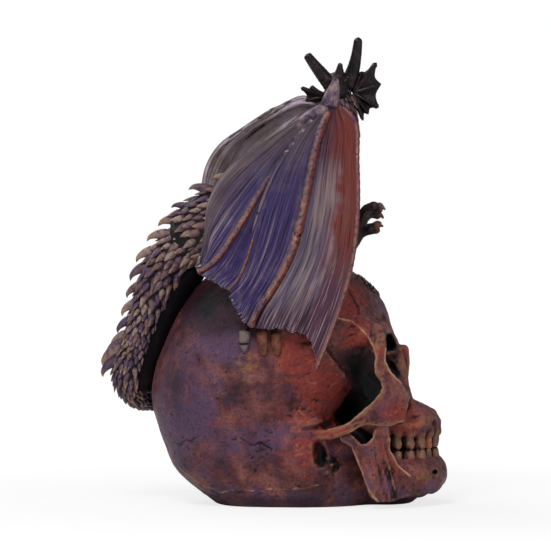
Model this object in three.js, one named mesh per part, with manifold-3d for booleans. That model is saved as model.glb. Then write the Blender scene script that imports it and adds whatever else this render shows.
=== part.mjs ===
// A small horned dragon perched on a life-like skull, cast in parts and glued together.
// Millimetres, +Z up. The face looks towards -Y and the skull's right side towards -X.
// The origin lies in the middle of the flat base.
import * as THREE from 'three';
import { mergeVertices } from 'three/addons/utils/BufferGeometryUtils.js';
import Module from 'manifold-3d';

const wasm = await Module();
wasm.setup();

// Sizes of the skull
const skullHalfWidth = 43;
const skullReach = 72;
const skullHeight = 104;
const ridgeRadius = 3.3;
const archRadius = 2.6;
const cheekThickness = 3.4;
const browThickness = 6;
const noseHalfWidth = 4.6;
const jawHalfHeight = 0.0615 * skullHeight;
const jawHalfThickness = 0.096 * skullHalfWidth;
const ramusThickness = 0.138 * skullHalfWidth;
const toothWidth = 0.1025 * skullHalfWidth;

// Sizes of the dragon
const dragonHeight = 96;
const torsoRadius = 14;
const scaleHeight = 1.4;
const neckRadius = 8;
const headRadius = 7;
const legRadius = 5;
const tailRadius = 9.4;
const armRadius = 4.2;
const wingThickness = 2.4;
const skinSag = 1.6;
const skinFold = 0.9;
const ribRadius = 2;
const hornRadius = 3.3;
const hornTipRadius = 1.5;
const finThickness = 2;
const spineLength = 8;
const spineRadius = 2.7;
const clawRadius = 1.5;
const toeRadius = 2.3;

// Sizes of the glue joints
const glueGap = 0.3;
const pinRadius = 1.5;
const pinReach = 7;

const UP = new THREE.Vector3(0, 0, 1);
const ACROSS = new THREE.Vector3(1, 0, 0);
const ALONG = new THREE.Vector3(0, 1, 0);

// Levels up to 1 are shares of the skull's height, and those above it of the dragon's height.
function level(share) {
  return share <= 1 ? share * skullHeight : skullHeight + (share - 1) * dragonHeight;
}

function at([x, y, z]) {
  return new THREE.Vector3(x * skullHalfWidth, y * skullReach, level(z));
}

function mirrored(places) {
  return places.map(([x, y, z]) => [-x, y, z]);
}

// Joining and cutting closed shapes
function signedVolume(positions, index) {
  const a = new THREE.Vector3();
  const b = new THREE.Vector3();
  const c = new THREE.Vector3();
  let volume = 0;
  for (let i = 0; i < index.count; i += 3) {
    a.fromBufferAttribute(positions, index.getX(i));
    b.fromBufferAttribute(positions, index.getX(i + 1));
    c.fromBufferAttribute(positions, index.getX(i + 2));
    volume += a.dot(b.cross(c)) / 6;
  }
  return volume;
}

function solid(geometry) {
  geometry.deleteAttribute('normal');
  geometry.deleteAttribute('uv');
  const merged = mergeVertices(geometry);
  const index = merged.index;
  const inward = signedVolume(merged.attributes.position, index) < 0;
  const triVerts = new Uint32Array(index.array);
  if (inward) {
    triVerts.reverse();
  }
  const vertProperties = new Float32Array(merged.attributes.position.array);
  return new wasm.Manifold(new wasm.Mesh({ numProp: 3, vertProperties, triVerts }));
}

function joined(solids) {
  return solids.reduce((sum, next) => sum.add(next));
}

function cut(body, cutters) {
  return cutters.reduce((rest, cutter) => rest.subtract(cutter), body);
}

// Fills every pocket that is closed on all sides.
function filled(body) {
  return joined(body.decompose().filter((shell) => shell.volume() > 0));
}

// The faces that join each ring of points to the next, all rings having the same count.
function sideFaces(ringCount, count) {
  const faces = [];
  for (let side = 0; side < count; side += 1) {
    const next = (side + 1) % count;
    for (let ring = 0; ring < ringCount - 1; ring += 1) {
      const low = ring * count;
      const high = low + count;
      faces.push(low + side, low + next, high + next, low + side, high + next, high + side);
    }
  }
  return faces;
}

function closedShape(points, faces) {
  const geometry = new THREE.BufferGeometry().setFromPoints(points);
  geometry.setIndex(faces);
  return solid(geometry);
}

// A closed skin over rings of points, drawn together to a point at each end.
function loft(rings, startPoint, endPoint) {
  const count = rings[0].length;
  const points = [...rings.flat(), startPoint, endPoint];
  const first = points.length - 2;
  const last = points.length - 1;
  const top = (rings.length - 1) * count;
  const faces = sideFaces(rings.length, count);
  for (let side = 0; side < count; side += 1) {
    const next = (side + 1) % count;
    faces.push(first, next, side, last, top + side, top + next);
  }
  return closedShape(points, faces);
}

// A thin sheet: each ring runs along its front face and back along its other face.
function sheet(rings) {
  const count = rings[0].length;
  const top = (rings.length - 1) * count;
  const faces = sideFaces(rings.length, count);
  for (let step = 0; step < count / 2 - 1; step += 1) {
    const near = step;
    const far = count - 1 - step;
    faces.push(near, far, near + 1, near + 1, far, far - 1);
    faces.push(top + near, top + near + 1, top + far, top + near + 1, top + far - 1, top + far);
  }
  return closedShape(rings.flat(), faces);
}

function pathCurve(path) {
  return new THREE.CatmullRomCurve3(path, false, 'centripetal');
}

// A rounded limb along a smooth path. Radii are spread evenly along the path, wide is its stretch
// towards the reference direction, grow makes it fatter all round, for cutting its neighbours, and
// bumps raises every other corner, row against row, for coarse scales.
function limb(path, radii, options = {}) {
  const { sides = 10, steps = 3, wide = 1, towards = ACROSS, grow = 0, bumps = 0 } = options;
  const curve = pathCurve(path);
  const total = (path.length - 1) * steps;
  const rings = [];
  for (let step = 0; step <= total; step += 1) {
    const centre = curve.getPoint(step / total);
    const tangent = curve.getTangent(step / total);
    const side = towards.clone().addScaledVector(tangent, -towards.dot(tangent)).normalize();
    const other = tangent.clone().cross(side);
    const radius = blend(radii, step / total);
    const ring = ringOf(centre, side, other, radius * wide + grow, radius + grow, sides);
    rings.push(bumps > 0 ? ring.map((point, corner) => (
      point.addScaledVector(point.clone().sub(centre).normalize(), (corner + step) % 2 * bumps)
    )) : ring);
  }
  const dome = 0.5;
  const start = curve.getPoint(0).addScaledVector(curve.getTangent(0), -(radii[0] * dome + grow));
  const end = curve.getPoint(1).addScaledVector(curve.getTangent(1), radii.at(-1) * dome + grow);
  return loft(rings, start, end);
}

function ringOf(centre, side, other, across, upward, sides) {
  const ring = [];
  for (let corner = 0; corner < sides; corner += 1) {
    const angle = corner / sides * 2 * Math.PI;
    const point = centre.clone().addScaledVector(side, Math.cos(angle) * across);
    ring.push(point.addScaledVector(other, Math.sin(angle) * upward));
  }
  return ring;
}

function blend(values, share) {
  const place = share * (values.length - 1);
  const low = Math.min(Math.floor(place), values.length - 2);
  return THREE.MathUtils.lerp(values[low], values[low + 1], place - low);
}

// An egg-shaped lobe whose middle and half sizes are shares of the skull's sizes.
function lobe([middle, halves], grow = 0, detail = 2) {
  const geometry = new THREE.IcosahedronGeometry(1, detail);
  geometry.scale(
    halves[0] * skullHalfWidth + grow,
    halves[1] * skullReach + grow,
    halves[2] * skullHeight + grow,
  );
  const centre = at(middle);
  geometry.translate(centre.x, centre.y, centre.z);
  return solid(geometry);
}

function bothSides([[x, y, z], halves]) {
  return [[[x, y, z], halves], [[-x, y, z], halves]];
}

// The skull
// The braincase level by level: height, front, back and half width
const caseShares = [
  [-0.029, -0.167, 0.278, 0.512], [0.019, -0.194, 0.369, 0.581], [0.077, -0.222, 0.486, 0.651],
  [0.154, -0.25, 0.594, 0.721], [0.231, -0.278, 0.644, 0.779], [0.308, -0.333, 0.683, 0.837],
  [0.404, -0.417, 0.721, 0.907], [0.49, -0.5, 0.722, 0.953], [0.596, -0.569, 0.686, 0.977],
  [0.673, -0.625, 0.642, 0.967], [0.731, -0.661, 0.606, 0.944], [0.798, -0.647, 0.553, 0.888],
  [0.846, -0.614, 0.506, 0.828], [0.885, -0.575, 0.464, 0.763], [0.933, -0.503, 0.397, 0.651],
  [0.971, -0.411, 0.312, 0.512], [1, -0.292, 0.201, 0.349],
];
const caseRoundness = 2.25;
const caseTaper = 0.08;
const lobeShares = {
  frontal: [[0, -0.361, 0.707], [0.744, 0.314, 0.207]],
  base: [[0, -0.15, 0.135], [0.78, 0.542, 0.24]],
  mouthFloor: [[0, -0.66, 0.12], [0.535, 0.26, 0.149]],
  alveolar: [[0, -0.7, 0.34], [0.605, 0.278, 0.09]],
  maxilla: [[0, -0.597, 0.49], [0.453, 0.181, 0.163]],
};
const mastoidShares = [[0.686, -0.139, 0.24], [0.233, 0.174, 0.154]];
const orbitShares = [[0.502, -0.73, 0.577], [0.28, 0.208, 0.102]];
const fossaShares = [
  [[0.977, -0.506, 0.519], [0.36, 0.147, 0.163]], [[0.977, -0.465, 0.644], [0.219, 0.167, 0.119]],
  [[0.767, -0.539, 0.5], [0.326, 0.089, 0.087]], [[0.721, -0.472, 0.404], [0.279, 0.132, 0.082]],
  [[0.744, -0.576, 0.476], [0.326, 0.106, 0.111]],
];
const noseShares = [[0, -0.853, 0.458], [0.126, 0.097, 0.067]];
const earShares = [[0.9, -0.28, 0.221], [0.186, 0.069, 0.067]];

// Plates of the face as seen from the side, and how far out each one's face lies from front to back
const cheekShares = [
  [-0.6, 0.637], [-0.593, 0.602], [-0.59, 0.573], [-0.6, 0.545], [-0.624, 0.525], [-0.639, 0.497],
  [-0.624, 0.47], [-0.59, 0.446], [-0.54, 0.415], [-0.5, 0.388], [-0.451, 0.363], [-0.392, 0.34],
  [-0.332, 0.327], [-0.222, 0.323], [-0.222, 0.285], [-0.332, 0.287], [-0.392, 0.297], [-0.451, 0.32],
  [-0.5, 0.34], [-0.54, 0.35], [-0.6, 0.343], [-0.649, 0.339], [-0.699, 0.343], [-0.758, 0.354],
  [-0.786, 0.371], [-0.792, 0.429], [-0.778, 0.477], [-0.749, 0.51], [-0.708, 0.532], [-0.675, 0.563],
  [-0.651, 0.598], [-0.647, 0.628], [-0.653, 0.673], [-0.656, 0.721], [-0.597, 0.712], [-0.586, 0.667],
];
const cheekFaceShares = [
  [-0.806, 0.614], [-0.764, 0.707], [-0.708, 0.786], [-0.653, 0.842], [-0.597, 0.879], [-0.528, 0.944],
  [-0.458, 0.974], [-0.375, 0.977], [-0.278, 0.94], [-0.194, 0.837],
];
const browPlateShares = [
  [-0.25, 0.812], [-0.361, 0.785], [-0.417, 0.769], [-0.456, 0.762], [-0.5, 0.738], [-0.54, 0.71],
  [-0.565, 0.683], [-0.585, 0.658], [-0.6, 0.621], [-0.65, 0.621], [-0.653, 0.669], [-0.647, 0.712],
  [-0.597, 0.75], [-0.528, 0.788], [-0.444, 0.817], [-0.333, 0.827],
];
const browFaceShares = [
  [-0.694, 0.698], [-0.647, 0.781], [-0.597, 0.823], [-0.528, 0.837], [-0.444, 0.828], [-0.333, 0.814],
  [-0.222, 0.767],
];
const nosePlateShares = [
  [-0.583, 0.731], [-0.661, 0.721], [-0.689, 0.692], [-0.708, 0.667], [-0.733, 0.652], [-0.789, 0.648],
  [-0.8, 0.638], [-0.806, 0.577], [-0.797, 0.519], [-0.803, 0.471], [-0.792, 0.442], [-0.667, 0.481],
];
const leanShares = [0.692, 1.69];

const browShares = [
  [0.012, -0.631, 0.688], [0.233, -0.642, 0.708], [0.465, -0.633, 0.721], [0.674, -0.603, 0.708],
  [0.767, -0.6, 0.654],
];
const innerRimShares = [
  [0.116, -0.728, 0.631], [0.186, -0.744, 0.577], [0.219, -0.758, 0.519], [0.233, -0.764, 0.481],
];
const lowerRimShares = [
  [0.186, -0.769, 0.448], [0.349, -0.764, 0.442], [0.535, -0.742, 0.438], [0.698, -0.681, 0.442],
];
const canineShares = [
  [0.233, -0.758, 0.481], [0.279, -0.783, 0.413], [0.349, -0.8, 0.365], [0.419, -0.806, 0.317],
];
const spineRootShares = [
  [0.14, -0.825, 0.408], [0.093, -0.869, 0.39], [0.035, -0.922, 0.365], [0, -0.958, 0.331],
];

const toothXShares = [0.06, 0.18, 0.29, 0.39, 0.47, 0.53, 0.58];
const toothYShares = [-0.965, -0.95, -0.915, -0.865, -0.8, -0.725, -0.65];
const rootShare = 0.082;
const biteShare = 0.232;

function onePerSide(shares, radii, options) {
  const right = limb(mirrored(shares).map(at), radii, options);
  const left = limb(shares.map(at), radii, options);
  return [right, left];
}

function braincase(grow) {
  const sides = 28;
  const rings = caseShares.map(([high, front, back, half]) => {
    const ring = [];
    for (let corner = 0; corner < sides; corner += 1) {
      const angle = corner / sides * 2 * Math.PI;
      const along = rounded(Math.sin(angle));
      const across = rounded(Math.cos(angle)) * (1 + caseTaper * along);
      ring.push(new THREE.Vector3(
        across * (half * skullHalfWidth + grow),
        (front + back) / 2 * skullReach + along * ((back - front) / 2 * skullReach + grow),
        high * skullHeight + (high > 0.9 ? grow : 0),
      ));
    }
    return ring;
  });
  const top = middleOf(rings.at(-1)).addScaledVector(UP, archRadius / 2);
  return loft(rings, middleOf(rings[0]), top);
}

function rounded(value) {
  return Math.sign(value) * Math.abs(value) ** (2 / caseRoundness);
}

// The corners of an outline moved outwards.
function grown(points, grow) {
  const turn = Math.sign(THREE.ShapeUtils.area(points));
  return points.map((point, index) => {
    const before = point.clone().sub(points.at(index - 1)).normalize();
    const after = points[(index + 1) % points.length].clone().sub(point).normalize();
    const along = before.clone().add(after).normalize();
    const reach = turn * grow / Math.max(along.dot(after), 0.5);
    return new THREE.Vector2(point.x + along.y * reach, point.y - along.x * reach);
  });
}

// How far out a plate's face lies; above the brow it leans in with the forehead.
function faceAt(faceShares, along, high) {
  const share = along / skullReach;
  const next = Math.min(Math.max(faceShares.findIndex(([y]) => y > share), 1), faceShares.length - 1);
  const [[y0, x0], [y1, x1]] = [faceShares[next - 1], faceShares[next]];
  const blendShare = THREE.MathUtils.clamp((share - y0) / (y1 - y0), 0, 1);
  const lean = Math.max(high / skullHeight - leanShares[0], 0) * leanShares[1];
  return (THREE.MathUtils.lerp(x0, x1, blendShare) - lean) * skullHalfWidth;
}

// A bent plate on one side of the skull, from its outline and the place of its outer face.
function bentPlate(outlineShares, outerFace, thickness, side, grow) {
  const corners = outlineShares.map(([y, z]) => new THREE.Vector2(y * skullReach, level(z)));
  const outline = grown(corners, grow);
  const faces = corners.map((corner) => outerFace(corner.x, corner.y));
  const layer = (inset) => outline.map((corner, index) => (
    new THREE.Vector3((faces[index] - inset) * side, corner.x, corner.y)
  ));
  const triangles = sideFaces(2, outline.length);
  THREE.ShapeUtils.triangulateShape(corners, []).forEach(([a, b, c]) => {
    const turned = THREE.ShapeUtils.area(corners) > 0;
    const [first, second] = turned ? [b, c] : [c, b];
    const over = outline.length;
    triangles.push(a, second, first, a + over, first + over, second + over);
  });
  return closedShape([...layer(thickness + grow), ...layer(-grow)].flat(), triangles);
}

function skullPlates(grow) {
  return [1, -1].flatMap((side) => [
    bentPlate(cheekShares, (y, z) => faceAt(cheekFaceShares, y, z), cheekThickness, side, grow),
    bentPlate(browPlateShares, (y, z) => faceAt(browFaceShares, y, z), browThickness, side, grow),
  ]);
}

function skullBulk(grow) {
  const ridges = [ridgeRadius, ridgeRadius];
  const arches = [archRadius, archRadius];
  const slim = { sides: 6, steps: 1, grow };
  const crown = joined([
    braincase(grow),
    ...Object.values(lobeShares).map((shares) => lobe(shares, grow)),
    ...bothSides(mastoidShares).map((shares) => lobe(shares, grow, 1)),
  ]);
  const hollows = fossaShares.flatMap(bothSides).map((shares) => lobe(shares, -grow));
  return filled(joined([
    cut(crown, hollows),
    ...skullPlates(grow),
    bentPlate(nosePlateShares, () => noseHalfWidth, noseHalfWidth * 2, 1, grow),
    ...onePerSide(browShares, ridges, { ...slim, towards: UP }),
    ...onePerSide(innerRimShares, arches, slim),
    ...onePerSide(lowerRimShares, arches, { ...slim, towards: UP }),
    ...onePerSide(canineShares, arches, slim),
    ...onePerSide(spineRootShares, [archRadius * 0.8, archRadius], slim),
  ]));
}

function tooth(index, side, direction) {
  const x = toothXShares[index] * side;
  const foot = at([x, toothYShares[index], biteShare]);
  const root = at([x, toothYShares[index], biteShare + direction * rootShare]);
  foot.addScaledVector(UP, direction * glueGap);
  const half = toothWidth / 2;
  return limb([foot, root], [half, half], { sides: 6, steps: 1 });
}

function toothRow(direction) {
  const row = [];
  for (let index = 0; index < toothXShares.length; index += 1) {
    row.push(tooth(index, 1, direction), tooth(index, -1, direction));
  }
  return row;
}

// Everything under the flat base.
function belowBase() {
  const size = skullReach * 4;
  const box = new THREE.BoxGeometry(size, size, size);
  box.translate(0, 0, -size / 2);
  return solid(box);
}

function skull() {
  return cut(joined([skullBulk(0), ...toothRow(1)]), [
    ...bothSides(orbitShares).map((shares) => lobe(shares)),
    ...bothSides(earShares).map((shares) => lobe(shares, 0, 1)),
    lobe(noseShares, 0, 1),
    belowBase(),
    ...bodyPins().map((item) => item.hole),
  ]);
}

// The lower jaw, cast apart
const jawShares = [
  [0.767, -0.597, 0.092], [0.721, -0.667, 0.094], [0.651, -0.75, 0.1], [0.512, -0.853, 0.11],
  [0.288, -0.933, 0.123],
];
const gumShares = [
  [0.637, -0.625, 0.163], [0.558, -0.75, 0.167], [0.4, -0.858, 0.167], [0.2, -0.922, 0.165],
];
const ramusShares = [
  [-0.569, 0.065], [-0.61, 0.031], [-0.694, 0.029], [-0.792, 0.053], [-0.828, 0.119], [-0.797, 0.133],
  [-0.728, 0.175], [-0.699, 0.21], [-0.675, 0.244], [-0.676, 0.285], [-0.669, 0.337], [-0.647, 0.34],
  [-0.617, 0.337], [-0.592, 0.323], [-0.578, 0.288], [-0.544, 0.265], [-0.506, 0.265], [-0.478, 0.285],
  [-0.45, 0.3], [-0.383, 0.294], [-0.394, 0.279], [-0.439, 0.265], [-0.453, 0.254], [-0.476, 0.216],
  [-0.5, 0.175], [-0.54, 0.107],
];
const ramusFaceShares = [
  [-0.833, 0.684], [-0.792, 0.735], [-0.722, 0.781], [-0.653, 0.814], [-0.569, 0.837], [-0.472, 0.847],
  [-0.375, 0.86],
];

function archBar(shares, frontShare, thickness, height) {
  const path = [...shares, [0, ...frontShare], ...mirrored(shares).reverse()];
  const options = { sides: 8, steps: 1, wide: height / thickness, towards: UP };
  return limb(path.map(at), [thickness, thickness], options);
}

function ramus(side) {
  return bentPlate(ramusShares, (y, z) => faceAt(ramusFaceShares, y, z), ramusThickness, side, 0);
}

function mandible() {
  const bone = joined([
    archBar(jawShares, [-0.957, 0.127], jawHalfThickness, jawHalfHeight),
    archBar(gumShares, [-0.936, 0.165], jawHalfThickness * 0.7, jawHalfHeight / 2),
    ramus(1),
    ramus(-1),
    ...toothRow(-1),
  ]);
  return cut(bone, [skullBulk(glueGap), ...toothRow(1), belowBase()]);
}

// The dragon's trunk, neck and head
const trunkShares = [
  [0, 0.5, 1.083], [0, 0.36, 1.135], [0, 0.167, 1.17], [0, -0.02, 1.2], [0, -0.18, 1.26],
  [0, -0.3, 1.35],
];
const trunkGirthShares = [0.8, 0.96, 1.03, 1, 0.88, 0.66];
const trunkSpineShares = [0.06, 0.2, 0.36, 0.52, 0.68];
const neckShares = [
  [0, -0.29, 1.35], [0, -0.38, 1.45], [0, -0.41, 1.56], [0, -0.4, 1.67], [0.01, -0.375, 1.73],
];
const neckGirthShares = [1, 0.92, 0.82, 0.75, 0.72];
const neckSpineShares = [0.12, 0.3, 0.48];
const faceShares = [
  [-0.09, -0.38, 1.76], [0.06, -0.38, 1.77], [0.24, -0.375, 1.75], [0.38, -0.365, 1.715],
  [0.52, -0.355, 1.68],
];
const faceGirthShares = [0.7, 1, 0.9, 0.66, 0.5];
const chinShares = [[0.12, -0.38, 1.7], [0.28, -0.365, 1.655], [0.46, -0.355, 1.62]];
const chinGirthShares = [0.62, 0.45, 0.3];
const crestShares = [[-0.05, -0.375, 1.8], [-0.1, -0.39, 1.87]];

function girths(shares, radius) {
  return shares.map((share) => share * radius);
}

function torsoBulk(grow) {
  const options = { sides: 16, steps: 5, grow, bumps: scaleHeight };
  return limb(trunkShares.map(at), girths(trunkGirthShares, torsoRadius), options);
}

function torso() {
  const curve = pathCurve(trunkShares.map(at));
  const spines = trunkSpineShares.map((share) => (
    hookedSpine(curve, share, blend(trunkGirthShares, share) * torsoRadius, 1, -1)
  ));
  const whole = joined([torsoBulk(0), ...spines]);
  return cut(whole, [skullBulk(glueGap), ...bodyPins().map((item) => item.hole)]);
}

function neckBulk(grow) {
  return limb(neckShares.map(at), girths(neckGirthShares, neckRadius), { sides: 10, steps: 2, grow });
}

function neck() {
  const curve = pathCurve(neckShares.map(at));
  const spines = neckSpineShares.map((share) => (
    hookedSpine(curve, share, blend(neckGirthShares, share) * neckRadius, 0.7, -1)
  ));
  return cut(joined([neckBulk(0), ...spines]), [torsoBulk(glueGap), headPin().hole]);
}

function headBulk(grow) {
  const wide = 0.85;
  const slim = { towards: ALONG, wide, grow, sides: 8, steps: 1 };
  return joined([
    limb(faceShares.map(at), girths(faceGirthShares, headRadius), {
      towards: ALONG, wide, grow, steps: 2,
    }),
    limb(chinShares.map(at), girths(chinGirthShares, headRadius), slim),
    limb(crestShares.map(at), [headRadius / 3, headRadius / 6], { sides: 6, steps: 1, grow }),
  ]);
}

function head() {
  return cut(headBulk(0), [neckBulk(glueGap), headPin().hole]);
}

// Horns and ear fins
const rightHornShares = [[0, -0.44, 1.78], [-0.02, -0.478, 1.86], [-0.05, -0.5, 1.98]];
const leftHornShares = [[0, -0.325, 1.765], [-0.02, -0.27, 1.83], [-0.05, -0.197, 1.91]];
const rightFinShares = [
  [-0.475, 1.75], [-0.519, 1.833], [-0.552, 1.828], [-0.597, 1.867], [-0.6, 1.82], [-0.624, 1.779],
  [-0.597, 1.73], [-0.597, 1.681], [-0.56, 1.68], [-0.528, 1.655], [-0.492, 1.64], [-0.47, 1.69],
];
const leftFinShares = [
  [-0.28, 1.76], [-0.2, 1.765], [-0.153, 1.766], [-0.17, 1.73], [-0.188, 1.7], [-0.3, 1.7],
];
const finSideShare = 0.03;

function horn(shares) {
  const middle = (hornRadius + hornTipRadius) / 2;
  const body = limb(shares.map(at), [hornRadius, middle, hornTipRadius], { sides: 8, steps: 2 });
  return cut(body, [headBulk(glueGap)]);
}

function earFin(shares) {
  const outline = new THREE.Shape(
    shares.map(([y, z]) => new THREE.Vector2(y * skullReach, level(z))),
  );
  const plate = new THREE.ExtrudeGeometry(outline, { depth: finThickness, bevelEnabled: false });
  plate.rotateX(Math.PI / 2);
  plate.rotateZ(Math.PI / 2);
  plate.translate(finSideShare * skullHalfWidth - finThickness / 2, 0, 0);
  return cut(solid(plate), [headBulk(glueGap), neckBulk(glueGap)]);
}

// Wings: five bones fan out from the wrist, and the skin hangs between them
const boneShares = {
  lead: [[0.74, -0.38, 1.7], [0.82, -0.474, 1.62], [0.91, -0.487, 1.44], [0.98, -0.489, 1.24],
    [1.04, -0.461, 1.03], [1.07, -0.415, 0.89], [1.07, -0.33, 0.72], [1.03, -0.245, 0.572]],
  second: [[0.74, -0.34, 1.69], [0.87, -0.265, 1.565], [0.98, -0.215, 1.41], [1.07, -0.16, 1.2],
    [1.1, -0.09, 1.03], [1.12, 0.02, 0.89], [1.11, 0.09, 0.82], [1.09, 0.14, 0.745]],
  middle: [[0.72, -0.3, 1.68], [0.83, -0.165, 1.57], [0.93, -0.03, 1.42], [1.03, 0.07, 1.24],
    [1.06, 0.13, 1.09], [1.08, 0.18, 0.98], [1.06, 0.22, 0.93], [1.05, 0.265, 0.895]],
  rear: [[0.7, -0.28, 1.67], [0.77, -0.17, 1.575], [0.83, -0.02, 1.43], [0.88, 0.09, 1.3],
    [0.9, 0.22, 1.14], [0.89, 0.335, 1.02], [0.87, 0.39, 0.985], [0.85, 0.445, 0.962]],
  trailing: [[0.66, -0.28, 1.69], [0.68, -0.14, 1.63], [0.68, 0.03, 1.55], [0.64, 0.17, 1.475],
    [0.58, 0.31, 1.38], [0.56, 0.39, 1.26], [0.62, 0.415, 1.1], [0.76, 0.44, 0.99]],
};
// The far wing lifts its two rear bones higher.
const liftedBoneShares = {
  rear: [[0.7, -0.28, 1.68], [0.74, -0.14, 1.665], [0.8, 0, 1.62], [0.84, 0.13, 1.56],
    [0.88, 0.25, 1.44], [0.89, 0.35, 1.24], [0.87, 0.4, 1.08], [0.85, 0.445, 0.98]],
  trailing: [[0.66, -0.28, 1.7], [0.66, -0.17, 1.727], [0.66, 0.03, 1.655], [0.64, 0.195, 1.582],
    [0.6, 0.34, 1.5], [0.58, 0.42, 1.39], [0.62, 0.44, 1.2], [0.76, 0.45, 1]],
};
const scallopShares = [0.105, -0.015, 0.02, 0.015];
const foldShares = [0.25, 0.5, 0.75];
const skinSteps = 8;
const armShares = [[0.16, -0.12, 1.26], [0.5, 0.04, 1.4], [0.62, -0.12, 1.57], [0.7, -0.34, 1.69]];
const armGirthShares = [1.3, 1, 0.9, 0.8];
const spurShares = [[0.72, -0.33, 1.69], [0.7, -0.35, 1.76], [0.68, -0.362, 1.82]];
const ribGirthShares = [1, 1.1, 0.95, 0.8, 0.55];
const ribScaleShares = [1, 1, 0.85, 1];

function skinColumn(curve, reach) {
  const column = [];
  for (let step = 0; step <= skinSteps; step += 1) {
    column.push(curve.getPoint(step / skinSteps * reach));
  }
  return column;
}

function skinColumns(bones) {
  const curves = bones.map((shares) => pathCurve(shares.map(at)));
  const columns = [];
  curves.forEach((curve, index) => {
    columns.push(skinColumn(curve, 1));
    if (index < curves.length - 1) {
      columns.push(...foldShares.map((share) => foldColumn(curve, curves[index + 1], index, share)));
    }
  });
  return columns;
}

// One line of the skin between two bones, which sag inwards and rise in folds.
function foldColumn(curve, nextCurve, index, share) {
  const deepest = Math.sin(Math.PI * (index === 0 ? Math.sqrt(share) : share));
  const reach = 1 - scallopShares[index] * deepest;
  const here = skinColumn(curve, reach);
  const there = skinColumn(nextCurve, reach);
  return here.map((point, step) => {
    const between = point.clone().lerp(there[step], share);
    const swell = Math.sin(step / skinSteps * Math.PI) ** 0.6;
    const fold = (1 - Math.cos(4 * Math.PI * share)) / 2 * skinFold;
    between.x -= Math.sign(between.x) * (Math.sin(Math.PI * share) * swell * skinSag - fold);
    return between;
  });
}

function skinNormal(columns, column, step) {
  const before = columns[Math.max(column - 1, 0)][step];
  const after = columns[Math.min(column + 1, columns.length - 1)][step];
  const above = columns[column][Math.max(step - 1, 0)];
  const below = columns[column][Math.min(step + 1, skinSteps)];
  const across = after.clone().sub(before);
  return across.cross(below.clone().sub(above)).normalize();
}

function skin(bones) {
  const columns = skinColumns(bones);
  const rings = [];
  for (let step = 0; step <= skinSteps; step += 1) {
    const faces = [1, -1].map((side) => columns.map((column, index) => {
      const normal = skinNormal(columns, index, step);
      return column[step].clone().addScaledVector(normal, side * wingThickness / 2);
    }));
    rings.push([...faces[0], ...faces[1].reverse()]);
  }
  return sheet(rings);
}

function wing(side) {
  const placed = (shares) => (side > 0 ? shares : mirrored(shares));
  const shapes = side > 0 ? { ...boneShares, ...liftedBoneShares } : boneShares;
  const bones = Object.values(shapes).map(placed);
  const ribs = bones.slice(0, ribScaleShares.length).map((shares, index) => {
    const radii = girths(ribGirthShares, ribRadius * ribScaleShares[index]);
    return limb(shares.map(at), radii, { sides: 5, steps: 2 });
  });
  const arm = limb(placed(armShares).map(at), girths(armGirthShares, armRadius), { sides: 8, steps: 2 });
  const spurGirths = [armRadius, armRadius / 2, armRadius / 4];
  const spur = limb(placed(spurShares).map(at), spurGirths, { sides: 6, steps: 1 });
  const whole = joined([skin(bones), ...ribs, arm, spur]);
  return cut(whole, [torsoBulk(glueGap), skullBulk(glueGap), headBulk(glueGap)]);
}

// Legs
const foreLegShares = [
  [0.2, -0.24, 1.2], [0.42, -0.26, 1.08], [0.4, -0.4, 1.03], [0.34, -0.5, 1.1], [0.3, -0.53, 1.17],
];
const foreGirthShares = [1.2, 0.95, 0.8, 0.7, 0.6];
const foreToeShares = [
  [[0.3, -0.49, 1.15], [0.32, -0.592, 1.236], [0.335, -0.657, 1.226]],
  [[0.33, -0.47, 1.1], [0.4, -0.57, 1.138], [0.42, -0.645, 1.155]],
  [[0.3, -0.49, 1.14], [0.22, -0.585, 1.205], [0.2, -0.648, 1.186]],
];
const hindLegShares = [
  [0.2, 0.26, 1.12], [0.55, 0.06, 1.08], [0.74, 0, 0.985], [0.8, 0.13, 0.9], [0.88, 0.12, 0.8],
];
const hindGirthShares = [1.9, 1.6, 1.15, 0.85, 0.8];
const hindToeShares = [
  [[0.89, 0.12, 0.82], [0.94, 0.17, 0.74], [0.96, 0.175, 0.64]],
  [[0.89, 0.1, 0.82], [0.95, 0.08, 0.74], [0.97, 0.06, 0.63]],
  [[0.89, 0.08, 0.82], [0.94, 0.0, 0.73], [0.95, -0.02, 0.625]],
];

function toes(places, placed) {
  return places.map((shares) => {
    const radii = [toeRadius, toeRadius * 0.9, clawRadius / 2];
    return limb(placed(shares).map(at), radii, { sides: 6, towards: ALONG, steps: 1 });
  });
}

function leg(shares, girthShares, toePlaces, side) {
  const placed = (places) => (side > 0 ? places : mirrored(places));
  const radii = girths(girthShares, legRadius);
  const bone = limb(placed(shares).map(at), radii, { sides: 8, steps: 2, towards: ALONG });
  const whole = joined([bone, ...toes(toePlaces, placed)]);
  return cut(whole, [torsoBulk(glueGap), skullBulk(glueGap)]);
}

// The tail, in four castings, with a row of hooked spines
const tailShares = [
  [0, 0.4, 1.12], [0, 0.604, 1.0], [0, 0.695, 0.88], [0, 0.757, 0.769], [0, 0.8, 0.683],
  [0, 0.845, 0.596], [0.03, 0.87, 0.51], [0.12, 0.83, 0.437], [0.36, 0.745, 0.412], [0.68, 0.58, 0.42],
  [0.92, 0.38, 0.44], [1.03, 0.14, 0.45], [1.03, -0.1, 0.46], [1.01, -0.33, 0.53], [0.97, -0.48, 0.67],
  [0.78, -0.535, 0.75], [0.44, -0.568, 0.835], [0, -0.598, 0.855], [-0.186, -0.552, 0.894],
  [-0.163, -0.497, 0.93],
];
const tailGirthShares = [
  1.1, 1, 0.84, 0.72, 0.66, 0.6, 0.55, 0.52, 0.5, 0.47, 0.44, 0.41, 0.38, 0.34, 0.31, 0.28, 0.25, 0.22,
  0.19, 0.14,
];
const tailCutShares = [[0, 4 / 19], [4 / 19, 8 / 19], [8 / 19, 12.5 / 19], [12.5 / 19, 1]];

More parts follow.
